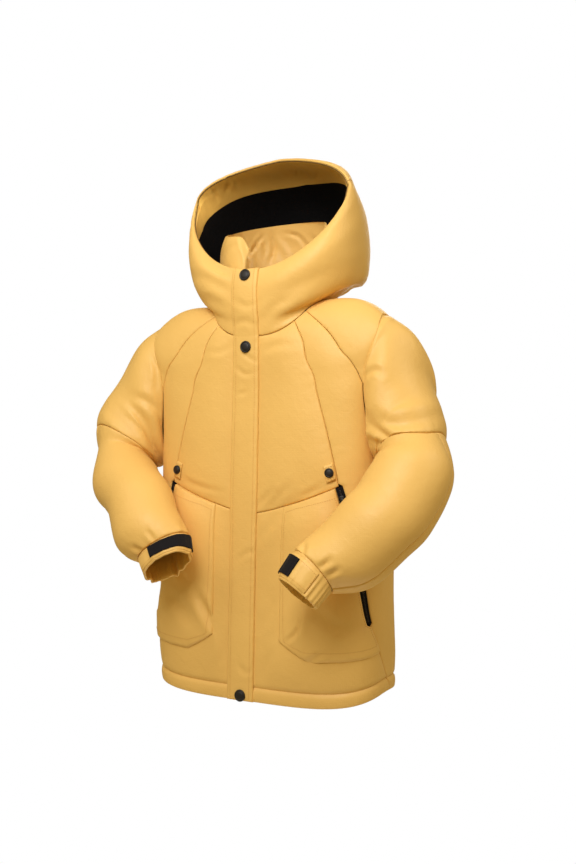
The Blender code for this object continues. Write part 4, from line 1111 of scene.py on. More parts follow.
def weave(tree, place, threads):
    """The crossing threads of a fine plain weave, threads to a metre."""
    waves = []
    for turn in (0.0, math.pi / 2):
        turned = add_node(tree, "Mapping", "Vector", Vector=place, Rotation=(0.0, turn, 0.0))
        waves.append(add_node(tree, "TexWave", "Fac", Vector=turned, Scale=threads / 20.0, Distortion=0.6, Detail=1.0))
    both = tree.nodes.new("ShaderNodeMath")
    both.operation = "MULTIPLY"
    for wave, socket in zip(waves, both.inputs):
        tree.links.new(wave, socket)
    return both.outputs["Value"]


def bumped(tree, shader, *layers):
    """Bump nodes in a row, each from a height, a distance in metres and a strength."""
    below = {}
    for height, reach, strength in layers:
        normal = add_node(tree, "Bump", "Normal", Height=height, Distance=reach, Strength=strength, **below)
        below = {"Normal": normal}
    tree.links.new(normal, shader.inputs["Normal"])


def shell_cloth(name, colour, roughness=0.46):
    """The smooth, slightly satin polyester of the shell."""
    light = tuple(min(1.0, part * 1.03) for part in colour)
    dark = tuple(part * share for part, share in zip(colour, (0.965, 0.95, 0.93)))
    made, tree, shader, place = shader_of(name, colour, roughness, 0.08, 0.32, (1.0, 0.80, 0.40))
    coloured(tree, shader, cloudy(tree, place, 9.0), dark, light)
    crinkle = cloudy(tree, place, 95.0, 3.0, 0.55, 0.4)
    roughened(tree, shader, crinkle, roughness - 0.07, roughness + 0.09)
    fine = cloudy(tree, place, 420.0)
    threads = weave(tree, place, 2600.0)
    bumped(tree, shader, (crinkle, 0.0011, 0.55), (fine, 0.00018, 0.6), (threads, 0.00006, 0.8))
    return made


def dark_cloth(name, colour, roughness, grain, sheen=0.1):
    """A black cloth with a fuzz of so many tufts to a metre."""
    light = tuple(part * 1.5 for part in colour)
    dark = tuple(part * 0.7 for part in colour)
    made, tree, shader, place = shader_of(name, colour, roughness, sheen, 0.12)
    fuzz = cloudy(tree, place, grain, 3.0, 0.6)
    coloured(tree, shader, fuzz, dark, light)
    roughened(tree, shader, fuzz, roughness - 0.1, min(1.0, roughness + 0.1))
    bumped(tree, shader, (fuzz, 0.0004, 0.6), (weave(tree, place, 1800.0), 0.0001, 0.7))
    return made


def plain(name, colour, roughness, metallic=0.0):
    """Thread, plastic or metal with light scuffs."""
    made, tree, shader, place = shader_of(name, colour, roughness)
    shader.inputs["Metallic"].default_value = metallic
    scuff = cloudy(tree, place, 160.0, 4.0)
    roughened(tree, shader, scuff, roughness - 0.08, roughness + 0.12)
    bumped(tree, shader, (scuff, 0.0002, 0.3))
    return made


SHELL = shell_cloth("shell_yellow", (0.80, 0.495, 0.145))
# The facing is the shell's yellow cloth given a lighter base colour than the shell: painted light, standing for light
# that hardly reaches inside the hood. The cuffs' insides take the same colour.
FACING_PAINTED_LIGHT = shell_cloth("facing_yellow_painted_light", (0.92, 0.56, 0.130), 0.55)
PIPING = shell_cloth("piping_brown", (0.12, 0.06, 0.018), 0.6)
LINING = dark_cloth("lining_black", (0.004, 0.0035, 0.004), 0.8, 260.0, 0.0)
HOOK = dark_cloth("hook_and_loop", (0.009, 0.008, 0.010), 0.9, 900.0, 0.06)
TAPE = dark_cloth("zip_tape", (0.007, 0.006, 0.007), 0.8, 500.0, 0.0)
THREAD = plain("thread_yellow", (0.62, 0.32, 0.07), 0.5)
SNAP = plain("snap_black", (0.006, 0.004, 0.005), 0.5)
TEETH = plain("zip_teeth", (0.035, 0.032, 0.035), 0.35)
PULL = plain("zip_pull", (0.05, 0.048, 0.05), 0.30, 0.8)


# Turning pieces into objects


def add_object(name, points, faces, materials, index=None, smooth=50, stands_for=()):
    """A mesh of points in mm, riding on the one body; edges sharper than smooth degrees stay crisp."""
    mesh = bpy.data.meshes.new(name)
    faces = faces.tolist() if isinstance(faces, np.ndarray) else faces
    mesh.from_pydata((np.asarray(points) * MM).tolist(), [], faces)
    for one in materials:
        mesh.materials.append(one)
    if index is not None:
        mesh.polygons.foreach_set("material_index", np.asarray(index, dtype=np.int32))
    mesh.update()
    mesh.shade_smooth()
    mesh.set_sharp_from_angle(angle=math.radians(smooth))
    made = bpy.data.objects.new(name, mesh)
    bpy.context.scene.collection.objects.link(made)
    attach(made, "root")
    if stands_for:
        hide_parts(*stands_for)
    return made


def wall(name, one, materials, closed=False):
    """The closed wall of a piece, with one material outside and on its edges and another inside."""
    outer = one["points"] + one["normals"] * one["outer"][..., None]
    inner = one["points"] - one["normals"] * one["inner"][..., None]
    count = one["outer"].size
    front = np.arange(count).reshape(one["outer"].shape)
    if closed:
        front = np.concatenate([front, front[:, :1]], axis=1)
    rear = front + count

    def quads(a, b, c, d):
        return np.stack([a, b, c, d], axis=-1).reshape(-1, 4)

    face = quads(front[:-1, :-1], front[:-1, 1:], front[1:, 1:], front[1:, :-1])
    lining = quads(rear[1:, :-1], rear[1:, 1:], rear[:-1, 1:], rear[:-1, :-1])
    sides = [
        quads(rear[0, :-1], rear[0, 1:], front[0, 1:], front[0, :-1]),
        quads(rear[-1, 1:], rear[-1, :-1], front[-1, :-1], front[-1, 1:]),
    ]
    if not closed:
        sides.append(quads(rear[1:, 0], rear[:-1, 0], front[:-1, 0], front[1:, 0]))
        sides.append(quads(rear[:-1, -1], rear[1:, -1], front[1:, -1], front[:-1, -1]))
    side = np.concatenate(sides)
    index = np.concatenate([np.zeros(len(face)), np.ones(len(lining)) * (len(materials) - 1), np.zeros(len(side))])
    points = np.concatenate([outer.reshape(-1, 3), inner.reshape(-1, 3)])
    faces = np.concatenate([face, lining, side])
    made = add_object(name + "_cloth", points, faces, materials, index, stands_for=(name,))
    return made


def frame_at(normal):
    across = unit(np.cross((0.0, 0.0, 1.0), normal))
    return across, np.cross(normal, across)


# A snap's cap from its foot to the middle of its dome: radius and height, as shares
SNAP_PROFILE = (
    (1.00, 0.00), (1.00, 0.34), (0.985, 0.50), (0.94, 0.66), (0.87, 0.76), (0.80, 0.78),
    (0.74, 0.70), (0.71, 0.66), (0.67, 0.72), (0.58, 0.86), (0.40, 0.96), (0.20, 1.00),
)


def ring_faces(points, sides, capped=True):
    """The faces between rings of points, each ring with the same number of sides, and over the two end rings."""
    faces = []
    for low in range(0, points - sides, sides):
        for s in range(sides):
            t = (s + 1) % sides
            faces.append((low + s, low + t, low + t + sides, low + s + sides))
    return faces + [tuple(range(sides))[::-1], tuple(range(points - sides, points))] if capped else faces


def snap_on(name, one, row, column, radius):
    """A snap's cap, turned round its middle: a rolled rim, a groove and a low dome."""
    centre, normal = on_face(one, row, column)
    centre = centre + normal * LAYER_GAP
    across, along = frame_at(normal)
    sides = 56
    turn = np.arange(sides) * 2 * math.pi / sides
    spokes = np.cos(turn)[:, None] * across + np.sin(turn)[:, None] * along
    points = [centre + spokes * size * radius + normal * lift * SNAP_THICK for size, lift in SNAP_PROFILE]
    points = np.concatenate(points + [(centre + normal * SNAP_THICK)[None]])
    top = (len(SNAP_PROFILE) - 1) * sides
    faces = [tuple(range(sides))[::-1]] + ring_faces(top + sides, sides, capped=False)
    faces += [(top + s, top + (s + 1) % sides, len(points) - 1) for s in range(sides)]
    return add_object(name + "_cap", points, faces, [SNAP], None, 40, (name,))


def along_line(one, places):
    """Points and normals along a line on a face, given as coarse (row, column) pairs."""
    places = np.array(places, float)
    legs = np.linspace(0, len(places) - 1, 400)
    row = np.interp(legs, np.arange(len(places)), places[:, 0])
    column = np.interp(legs, np.arange(len(places)), places[:, 1])
    return on_face(one, row, column)


def evenly(points, normals, pitch):
    run = np.append(0, np.cumsum(np.linalg.norm(np.diff(points, axis=0), axis=-1)))
    at = np.arange(pitch / 2, run[-1], pitch)

    def read(values):
        return np.stack([np.interp(at, run, values[:, axis]) for axis in range(3)], axis=-1)

    return read(points), unit(read(normals)), unit(np.gradient(read(points), axis=0))


def stitches(name, lines, material, pitch=3.4, length=2.3, thick=0.42):
    """Rows of stitches: each a small spindle of thread half sunk into the cloth."""
    points, faces = [], []
    rings = ((-0.5, 0.35, -0.35), (-0.3, 1.0, 0.18), (0.3, 1.0, 0.18), (0.5, 0.35, -0.35))
    sides = 5
    for line_points, line_normals in lines:
        centres, normals, ways = evenly(line_points, line_normals, pitch)
        for centre, normal, way in zip(centres, normals, ways):
            across = np.cross(normal, way)
            start = len(points)
            for share, size, lift in rings:
                for s in range(sides):
                    turn = 2 * math.pi * s / sides
                    off = across * math.cos(turn) + normal * math.sin(turn)
                    points.append(centre + way * length * share + off * thick * size + normal * thick * lift)
            for ring in range(len(rings) - 1):
                low = start + ring * sides
                for s in range(sides):
                    t = (s + 1) % sides
                    faces.append((low + s, low + s + sides, low + t + sides, low + t))
            faces.append(tuple(range(start, start + sides)))
            faces.append(tuple(range(start + len(rings) * sides - 1, start + (len(rings) - 1) * sides - 1, -1)))
    return add_object(name, points, faces, [material], None, 60, ())


def tube(name, line, radius, material, sides=6):
    """A continuous cord of cloth along a line, closed at both ends."""
    way = unit(np.gradient(line, axis=0))
    across = unit(np.cross(way, (0.3, 0.2, 0.93)))
    along = np.cross(way, across)
    turn = np.arange(sides) * 2 * math.pi / sides
    ring = np.cos(turn)[None, :, None] * across[:, None] + np.sin(turn)[None, :, None] * along[:, None]
    points = (line[:, None] + ring * radius).reshape(-1, 3)
    return add_object(name, points, ring_faces(len(points), sides), [material], None, 60, ())


def block(name, centre, normal, up, size, material):
    """A small moulded part: a rounded oblong with a bevelled face, width by height by thickness."""
    up = unit(up - normal * (up @ normal))
    across = np.cross(up, normal)
    sides = 28
    turn = np.arange(sides) * 2 * math.pi / sides
    wide = np.sign(np.cos(turn)) * np.abs(np.cos(turn)) ** 0.5 * size[0] / 2
    high = np.sign(np.sin(turn)) * np.abs(np.sin(turn)) ** 0.5 * size[1] / 2
    outline = wide[:, None] * across + high[:, None] * up
    levels = ((0.92, 0.0), (1.0, 0.2), (1.0, 0.7), (0.90, 0.93), (0.72, 1.0))
    points = np.concatenate([centre + outline * share + normal * size[2] * lift for share, lift in levels])
    return add_object(name, points, ring_faces(len(points), sides), [material], None, 35, ())


def inset(one, count, sides="bottom left top right"):
    """Lines that run along a piece's edges, so many fine rows and columns inside them."""
    rows, columns = one["rows"], one["columns"]
    low, high, left, right = rows[count], rows[-1 - count], columns[count], columns[-1 - count]
    lines = {
        "bottom": [(low, left), (low, right)],
        "top": [(high, left), (high, right)],
        "left": [(low, left), (high, left)],
        "right": [(low, right), (high, right)],
    }
    return [along_line(one, lines[side]) for side in sides.split()]


# Creases on the sides that the photograph hides, like those that it shows: from one angle and share to another (turn
# and share along an arm), with a bow in the middle, then the width and the height in mm. Below 0 it is a trough.
TORSO_CREASES = (
    (124, 0.66, 152, 0.52, 2, -0.02, 10, -2.6),
    (236, 0.69, 206, 0.56, -2, -0.02, 10, -2.3),
    (138, 0.74, 172, 0.70, 0, -0.02, 11, -1.9),
    (224, 0.77, 194, 0.72, 0, -0.015, 10, -1.8),
    (118, 0.31, 158, 0.22, 0, 0.02, 12, -2.1),
    (242, 0.25, 206, 0.19, 0, 0.02, 11, -1.9),
    (160, 0.43, 203, 0.40, 0, -0.015, 13, -1.7),
    (148, 0.055, 151, 0.13, 1, 0, 6, -1.7),
    (171, 0.055, 168, 0.11, 0, 0, 5, -1.3),
    (187, 0.055, 184, 0.14, -1, 0, 6, -1.6),
    (216, 0.055, 220, 0.12, 1, 0, 6, -1.6),
    (170, 0.96, 163, 0.85, 1, 0, 7, -1.8),
    (194, 0.96, 200, 0.86, 0, 0, 7, -1.7),
    (258, 0.52, 286, 0.43, 0, 0.015, 9, -2.0),
    (266, 0.22, 292, 0.15, 0, 0.01, 9, -1.7),
    (98, 0.50, 118, 0.40, 0, 0.01, 9, -1.9),
)
LEFT_CREASES = (
    (176, 0.10, 204, 0.30, 8, 0, 8, -2.8),
    (222, 0.08, 236, 0.26, 4, 0, 8, -2.4),
    (284, 0.41, 232, 0.45, 0, 0.015, 8, -3.2),
    (296, 0.53, 240, 0.50, 0, 0.01, 8, -2.8),
    (262, 0.60, 236, 0.72, 6, 0, 9, -2.2),
    (302, 0.80, 290, 0.95, 3, 0, 5, -2.4),
    (256, 0.83, 262, 0.96, -3, 0, 5, -2.6),
    (222, 0.81, 215, 0.95, 2, 0, 5, -2.4),
)
RIGHT_CREASES = (
    (182, 0.09, 208, 0.28, 8, 0, 8, -2.6),
    (226, 0.07, 244, 0.24, 4, 0, 8, -2.3),
    (290, 0.43, 238, 0.46, 0, 0.015, 8, -3.0),
    (276, 0.54, 228, 0.51, 0, 0.01, 8, -2.7),
    (318, 0.56, 300, 0.70, 5, 0, 9, -2.0),
    (312, 0.81, 300, 0.95, 3, 0, 5, -2.3),
    (272, 0.84, 276, 0.96, -3, 0, 5, -2.5),
    (232, 0.80, 226, 0.95, 2, 0, 5, -2.3),
)
HOOD_CREASES = (
    (122, 0.05, 152, 0.20, 0, 0.02, 9, -2.4),
    (242, 0.05, 212, 0.18, 0, 0.02, 9, -2.2),
    (163, 0.11, 197, 0.13, 0, -0.03, 10, -2.0),
    (173, 0.42, 179, 0.62, 2, 0, 10, -1.7),
    (258, 0.28, 232, 0.42, 0, 0.02, 10, -1.9),
    (206, 0.52, 226, 0.66, 0, 0.02, 9, -1.6),
)

# Creases that the photograph shows, by piece: the width and the height in mm, and where each runs, in pixels of a
# picture 576 wide and 864 high.
SEEN_CREASES = {
    "hood_side_L": (
        (7, -3.5, (320, 301), (300, 311), (279, 324)),
        (9, -1.6, (270, 300), (310, 281), (352, 262)),
        (12, 2.0, (262, 292), (300, 264), (345, 234)),
        (6, -1.6, (264, 318), (276, 306), (292, 297)),
    ),
    "hood_side_R": (
        (6, -2.6, (200, 252), (218, 269), (232, 274)),
        (7, -1.8, (193, 274), (213, 281), (232, 294)),
        (6, -1.6, (203, 298), (214, 300), (228, 309)),
    ),
    "inner_collar": (
        (3, -4.5, (241, 236), (248, 254), (249.5, 269)),
        (2.6, -3, (263, 236), (255, 247), (249, 256)),
        (3.6, -3.2, (272, 234), (274, 250), (270, 264)),
        (3, -2.8, (286, 233), (299, 237), (308, 248)),
        (4, -1.6, (222, 262), (228, 250), (240, 243)),
        (4, 2.4, (259, 239), (262, 256)),
        (5, 2.2, (280, 240), (288, 256)),
        (3.5, -2.2, (312, 236), (318, 244), (316, 252)),
    ),
    "sleeve_upper_L": (
        (5, -4.2, (387, 312), (372, 331), (364, 352), (362, 384)),
        (4, -2.5, (366, 378), (376, 371), (383, 375)),
        (8, -3.6, (366, 410), (385, 423), (408, 423), (440, 417)),
        (6, -5.0, (367, 418), (379, 431), (393, 442), (407, 444)),
        (4, 2.5, (373, 431), (387, 442)),
        (5, -4.0, (373, 439), (388, 448), (403, 445)),
    ),
    "sleeve_upper_R": (
        (5, -2.0, (154, 357), (159, 371), (157, 389)),
        (6, -2.5, (136, 396), (146, 401), (158, 412)),
        (8, -3.2, (108, 409), (124, 425), (139, 440)),
        (8, -3.2, (137, 410), (147, 428), (155, 452)),
        (7, 2.0, (128, 408), (140, 425), (150, 444)),
    ),
    "forearm_top_R": (
        (3, -2.2, (155, 541), (148, 531)),
        (3.4, -2.6, (142, 551), (134, 545)),
        (3, -2.0, (188, 533), (180, 524)),
    ),
    "forearm_top_L": (
        (3, -2.4, (302, 556), (306, 545)),
        (3.2, -3.0, (320, 568), (331, 559)),
        (3.2, -3.0, (327, 576), (339, 568)),
    ),
    "pocket_L": (
        (3.2, -3.2, (302, 619), (300, 630), (288, 642)),
        (4, -2.6, (325, 652), (314, 659), (304, 662)),
        (7, 2.2, (305, 606), (304, 640)),
        (8, -2.4, (310, 600), (330, 622), (352, 632)),
    ),
    "pocket_R": (
        (5, -4.4, (199, 590), (208, 613), (217, 632)),
        (8, -2.2, (168, 590), (184, 606), (196, 628)),
        (4, -2.0, (163, 572), (178, 569), (190, 580)),
    ),
    "front_centre_L": (
        (4, -1.4, (257, 507), (275, 489)),
        (5, -1.1, (268, 508), (292, 484)),
        (4, -1.3, (301, 498), (322, 486)),
        (5, -1.2, (262, 352), (276, 346), (296, 344)),
    ),
    "front_centre_R": (
        (4, -1.3, (184, 478), (200, 486), (224, 492)),
        (4, -1.1, (206, 352), (222, 352), (232, 346)),
    ),
    "front_lower_L": (
        (6, -1.4, (262, 682), (267, 665), (273, 652)),
        (6, -1.3, (261, 540), (270, 527), (276, 514)),
        (7, -1.4, (262, 628), (272, 612), (275, 592)),
    ),
    "front_lower_R": (
        (6, -1.3, (220, 668), (226, 650), (228, 630)),
    ),
    "storm_flap": (
        (3, -1.3, (243, 352), (251, 358), (258, 361)),
        (3.5, -1.3, (236, 366), (246, 374), (257, 372)),
        (3, -1.0, (238, 395), (249, 392)),
        (4, -1.2, (236, 300), (247, 306), (258, 303)),
        (4, -1.2, (236, 325), (246, 321), (258, 326)),
        (4, -1.1, (240, 560), (250, 552), (257, 553)),
        (4, -1.1, (238, 662), (247, 672), (256, 668)),
    ),
    "hood_facing": (
        (2.2, -1.6, (298, 163), (297, 176)),
        (2.2, -1.6, (320, 164), (317, 178)),
        (3, -2.0, (229, 176), (226, 192)),
        (3, -2.0, (212, 188), (217, 200)),
    ),
}


def finished(name, one, edges, seed, surface, creases, side=1, pucker=0.55, bulge=0.8, depth=1.7):
    """A panel with its unevenness, gathers and creases, rolled down into its seams."""
    undulating(one, bulge, 62, seed, side)
    puckered(one, edges, pucker, seed * 7)
    creased(one, surface, creases, side)
    creased_as_seen(one, name, side)
    rolled(one, edges, 2.4, depth)
    return kept_thick(one)


def on_torso(angle, share):
    return loft(TORSO, angle, share)


def edges_of(one, names):
    """The distances from the named edges of a piece."""
    found = dict(zip(("bottom", "top", "left", "right"), ends(one)))
    return [found[name] for name in names.split()]


# The closure, the pockets and the small pieces, laid on the pieces below them


def front_rails(lower, centre, hood_part, low, high):
    """Columns up the whole front, from the hem past the yoke and neck seams to the hood's rim."""
    found = []
    for one, first_row in ((lower, 0), (centre, YOKE_ROW), (hood_part, NECK_ROW)):
        c = slice(fine_row(one["columns"], low), fine_row(one["columns"], high) + 1)
        r = slice(1 if first_row else 0, None)
        found.append({key: one[key][r, c] for key in ("points", "normals")})
        found[-1]["rows"] = one["rows"][r] + first_row
    return found


def same_columns(found, count):
    """The three stretches of rails as one grid with the same number of columns."""
    grids = {"points": [], "normals": []}
    for part in found:
        at = np.linspace(0, part["points"].shape[1] - 1, count)
        for key in grids:
            grids[key].append(read_at(part[key], at, 1))
    rows = np.concatenate([part["rows"] for part in found])
    return {key: np.concatenate(values) for key, values in grids.items()}, rows


def storm_flap(left, right):
    """The flap over the front zip, stitched down on the wearer's left and free on the right."""
    grid_l, rows = same_columns(front_rails(*left, 0, 1), 5)
    grid_r, _ = same_columns(front_rails(*right, -2, -1), 9)
    parts = {}
    for key in ("points", "normals"):
        a, b = grid_r[key][:, -1], grid_l[key][:, 0]
        middle = [(a * (1 - way) + b * way)[:, None] for way in (0.25, 0.5, 0.75)]
        parts[key] = np.concatenate([grid_r[key], *middle, grid_l[key]], axis=1)
    normals = unit(parts["normals"])
    columns = np.arange(parts["points"].shape[1], dtype=float)
    beside = np.array([0.12, 0.3])
    fine = np.unique(np.concatenate([np.arange(0, columns[-1] + 0.01, 0.5), beside, columns[-1] - beside]))
    points = read_at(parts["points"], fine, 1) + read_at(normals, fine, 1) * (FLAT + LAYER_GAP)
    return piece(points, unit(read_at(normals, fine, 1)), FLAP_THICK, rows, fine, 0.0)


def pocket(lower):
    """The patch pocket, on the outer columns of the lower front."""
    made = laid_on(cut_out(lower, (4, 10), (3, 6)), POCKET_EDGE)
    made["points"] = draw_in(made["points"], POCKET_CLEAR, "top right")
    return swell(made, POCKET_PUFF, reach=POCKET_REACH)


def pocket_zip(lower, side_piece):
    """The black zip's tape along the pocket's outer edge, between the lower front and the side piece."""
    a = slice(fine_row(lower["rows"], ZIP_END), fine_row(lower["rows"], 10) + 1)
    b = slice(fine_row(side_piece["rows"], ZIP_END), fine_row(side_piece["rows"], 10) + 1)
    count = 60
    rails = {}
    for key in ("points", "normals"):
        first, second = lower[key][a, -1], side_piece[key][b, 0]
        first = read_at(first, np.linspace(0, len(first) - 1, count))
        second = read_at(second, np.linspace(0, len(second) - 1, count))
        rails[key] = np.stack([first * (1 - way) + second * way for way in np.linspace(0, 1, 7)], axis=1)
    points = draw_in(rails["points"], POCKET_ZIP_CLEAR)
    return piece(points, unit(rails["normals"]), ZIP_THICK / 2 - 0.6, np.arange(60.0), np.arange(7.0), ZIP_THICK / 2)


def chest_tab(centre):
    """The small tab over the end of the pocket zip, on the chest piece's lower outer corner."""
    rows, columns = np.linspace(*CHEST_TAB_ROWS, 14), np.linspace(*CHEST_TAB_COLUMNS, 12)
    row, column = np.meshgrid(rows, columns, indexing="ij")
    points, normals = on_face(centre, row, column)
    out = np.linspace(*CHEST_TAB_OUT, 14)
    points = points + normals * (LAYER_GAP + out[:, None, None])
    made = piece(points, normals, TAB_THICK, np.arange(14.0), np.arange(12.0), 0.0)
    return rolled(made, ends(made), 1.6, 1.5)


def add_front(side, turn, edge):
    """One half of the front, and its shoulder and hood side. Returns the pieces that others are laid on."""
    sign = 1 if side == "L" else -1
    on_body = {"surface": on_torso, "creases": TORSO_CREASES, "side": sign}
    on_hood = {"surface": hood, "creases": HOOD_CREASES, "side": sign}
    rows = (
        ("front_lower_", front_lower(edge), "bottom top right", 11, on_body),
        ("front_centre_", front_centre(edge), "bottom top right", 17, on_body),
        ("front_side_", front_side(), "bottom top left right", 23, on_body),
        ("shoulder_", shoulder(), "top left right", 29, on_body),
        ("hood_side_", hood_side(edge), "bottom top right", 31, on_hood),
    )
    for name, one, edges, seed, dress in rows:
        finished(name + side, one, edges_of(one, edges), seed * sign, **dress)
        wall(name + side, turn(one), [SHELL, LINING])
    lower, centre, side_piece, _, hood_part = (row[1] for row in rows)
    tab = chest_tab(centre)
    patch = pocket(lower)
    finished("pocket_" + side, patch, ends(patch), 37 * sign, depth=2.0, **on_body)
    wall("pocket_" + side, turn(patch), [SHELL])
    zip_tape = turn(pocket_zip(lower, side_piece))
    wall("pocket_zip_" + side, zip_tape, [TAPE])
    add_zip_parts(side, zip_tape)
    sewn = inset(turn(patch), 4, "bottom left top right") + inset(turn(tab), 2)
    stitches("pocket_stitches_" + side, sewn, THREAD)
    hem = [along_line(one, [(2.0, 0), (2.0, one["columns"][-1])]) for one in (turn(lower), turn(side_piece))]
    stitches("hem_stitches_" + side, hem, THREAD)
    wall("chest_tab_" + side, turn(tab), [SHELL])
    snap_on("chest_snap_" + side, turn(tab), 6.5, 5.5, TAB_SNAP_RADIUS)
    return turn(lower), turn(centre), turn(hood_part)


def add_zip_parts(side, tape):
    """The coil of a pocket zip, and its slider and pull at the upper end."""
    coil = [along_line(tape, [(1, column), (57, column)]) for column in (TAPE_MIDDLE - 0.25, TAPE_MIDDLE + 0.25)]
    stitches("pocket_coil_" + side, coil, TEETH, 1.9, 1.2, 0.85)
    centre, normal = on_face(tape, SLIDER_ROW, TAPE_MIDDLE)
    above, _ = on_face(tape, SLIDER_ROW + 5, TAPE_MIDDLE)
    up = unit(above - centre)
    block("pocket_slider_" + side, centre, normal, up, (6.5, 9.0, 3.2), PULL)
    block("pocket_pull_" + side, centre + normal * 3.2 - up * 8.0, normal, up, (3.6, 17.0, 1.1), PULL)


def add_arm(side, turn, arm, creases):
    """One sleeve with its cuff."""
    sign = 1 if side == "L" else -1
    tilt = ELBOW_TILT[side]

    def surface(turns, along):
        return sleeve(arm, turns, along) * (sign, 1, 1)

    dress = {"surface": surface, "creases": creases, "side": sign, "pucker": 0.7, "bulge": 0.5}
    upper = sleeve_piece(arm, np.arange(0, 360, TURN_STEP), UPPER_ALONG, tilt, closed=True)
    (start, around), end = ends(upper, columns=None)
    sewn = start + 40 * np.clip(upper.pop("over") * 3, 0, 1)
    finished("sleeve_upper_" + side, upper, [(sewn, around), end], 41 * sign, **dress)
    wall("sleeve_upper_" + side, turn(upper), [SHELL, LINING], closed=True)
    seams = (UNDER_SEAM, HIDDEN_SEAM + 360), (HIDDEN_SEAM, UNDER_SEAM)
    for number, (name, (low, high)) in enumerate(zip(("forearm_top_", "forearm_under_"), seams)):
        one = sleeve_piece(arm, np.arange(low, high + 1, TURN_STEP), FOREARM_ALONG, tilt)
        puckered(one, [ends(one)[1]], 2.2, 71 * sign + number, 15.0, 12.0)
        finished(name + side, one, ends(one), (47 + 6 * number) * sign, **dress)
        wall(name + side, turn(one), [SHELL, LINING])
    wrist = cuff(arm, side)
    first, last = TAB_COLUMNS[side]
    strap = laid_on(cuff_part(wrist, (0.10, 0.93), (first, last - 1)), TAB_THICK)
    rolled(strap, ends(strap), 1.8, 1.6)
    start, stop = PATCH_COLUMNS[side]
    shift = start - first
    part = cut_out(strap, (1, 8), (shift, shift + stop - 1 - start))
    patch = laid_on(part, PATCH_THICK)
    # The cuff's inside takes the facing's colour, which is made lighter than the shell as painted light.
    wall("cuff_" + side, turn(wrist), [SHELL, FACING_PAINTED_LIGHT], closed=True)
    wall("cuff_tab_" + side, turn(strap), [SHELL])
    wall("cuff_patch_" + side, turn(patch), [HOOK])
    sewn = [along_line(turn(strap), [(row, 0.3), (row, strap["columns"][-1] - 0.3)]) for row in (1.1, 7.9)]
    sewn.append(along_line(turn(strap), [(1.1, 0.3), (7.9, 0.3)]))
    stitches("cuff_stitches_" + side, sewn, THREAD, 2.8, 1.9, 0.36)


def add_camera(scene):
    """The camera, at the photograph's angle and distance."""
    camera = bpy.data.objects.new("camera", bpy.data.cameras.new("camera"))
    camera.location = (BACK_WAY * CAMERA_AWAY + (0, 0, CAMERA_Z)) * MM
    camera.rotation_euler = (math.pi / 2, 0, CAMERA_TURN)
    camera.data.sensor_fit = "VERTICAL"
    camera.data.sensor_height = SENSOR
    camera.data.lens = FOCAL / PICTURE[1] * SENSOR
    camera.data.shift_x = (PICTURE[0] / 2 - FRAME_MIDDLE[0]) / PICTURE[1]
    camera.data.shift_y = (FRAME_MIDDLE[1] - PICTURE[1] / 2) / PICTURE[1]
    scene.collection.objects.link(camera)
    scene.camera = camera


def add_lights(scene):
    """Soft lamps that look at the coat, and a warm room seen as white."""
    for name, away, side, up, size, energy in LIGHTS:
        lamp = bpy.data.lights.new(name, "AREA")
        lamp.shape = "DISK"
        lamp.size = size
        lamp.energy = energy
        made = bpy.data.objects.new(name, lamp)
        made.location = BACK_WAY * away + RIGHT_WAY * side + (0, 0, up)
        aim = mathutils.Vector(LIGHTS_AIM) - made.location
        made.rotation_euler = aim.to_track_quat("-Z", "Y").to_euler()
        scene.collection.objects.link(made)
    world = bpy.data.worlds.new("studio")
    world.use_nodes = True
    tree = world.node_tree
    room = tree.nodes["Background"]
    room.inputs["Color"].default_value = (*WORLD_COLOUR, 1)
    room.inputs["Strength"].default_value = WORLD_LIGHT
    seen = add_node(tree, "Background", "Background", Color=(1, 1, 1, 1), Strength=1.0)
    mix = tree.nodes.new("ShaderNodeMixShader")
    for source, socket in zip((add_node(tree, "LightPath", "Is Camera Ray"), room.outputs[0], seen), mix.inputs):
        tree.links.new(source, socket)
    tree.links.new(mix.outputs[0], tree.nodes["World Output"].inputs["Surface"])
    scene.world = world
    scene.view_settings.view_transform = "Standard"


def add_floor(scene):
    """A plain pale floor, well below the coat."""
    floor = bpy.data.materials.new("floor")
    floor.use_nodes = True
    shader = floor.node_tree.nodes["Principled BSDF"]
    shader.inputs["Base Color"].default_value = (0.9, 0.9, 0.9, 1)
    shader.inputs["Roughness"].default_value = 0.9
    shader.inputs["Emission Color"].default_value = (1, 1, 1, 1)
    shader.inputs["Emission Strength"].default_value = 0.45
    mesh = bpy.data.meshes.new("floor")
    turns = np.linspace(0, 2 * math.pi, 97)[:-1]
    ring = [(math.cos(turn) * FLOOR_RADIUS, math.sin(turn) * FLOOR_RADIUS, FLOOR_Z) for turn in turns]
    mesh.from_pydata(ring, [], [tuple(range(len(ring)))])
    mesh.materials.append(floor)
    made = bpy.data.objects.new("floor", mesh)
    scene.collection.objects.link(made)


def front_tape(left, right):
    """The tape of the front zip, in the opening between the two fronts."""
    found_l, found_r = front_rails(*left, 0, 0), front_rails(*right, -1, -1)
    rails = {}
    for key in ("points", "normals"):
        a = np.concatenate([part[key][:, -1] for part in found_r])
        b = np.concatenate([part[key][:, 0] for part in found_l])
        inset = (ZIP_HALF - ZIP_TAPE_HALF) / (2 * ZIP_HALF)
        rails[key] = np.stack([a * (1 - way) + b * way for way in np.linspace(inset, 1 - inset, 5)], axis=1)
    rows = np.arange(float(len(rails["points"])))
    return piece(rails["points"], unit(rails["normals"]), ZIP_THICK / 2, rows, np.arange(5.0), ZIP_THICK / 2)


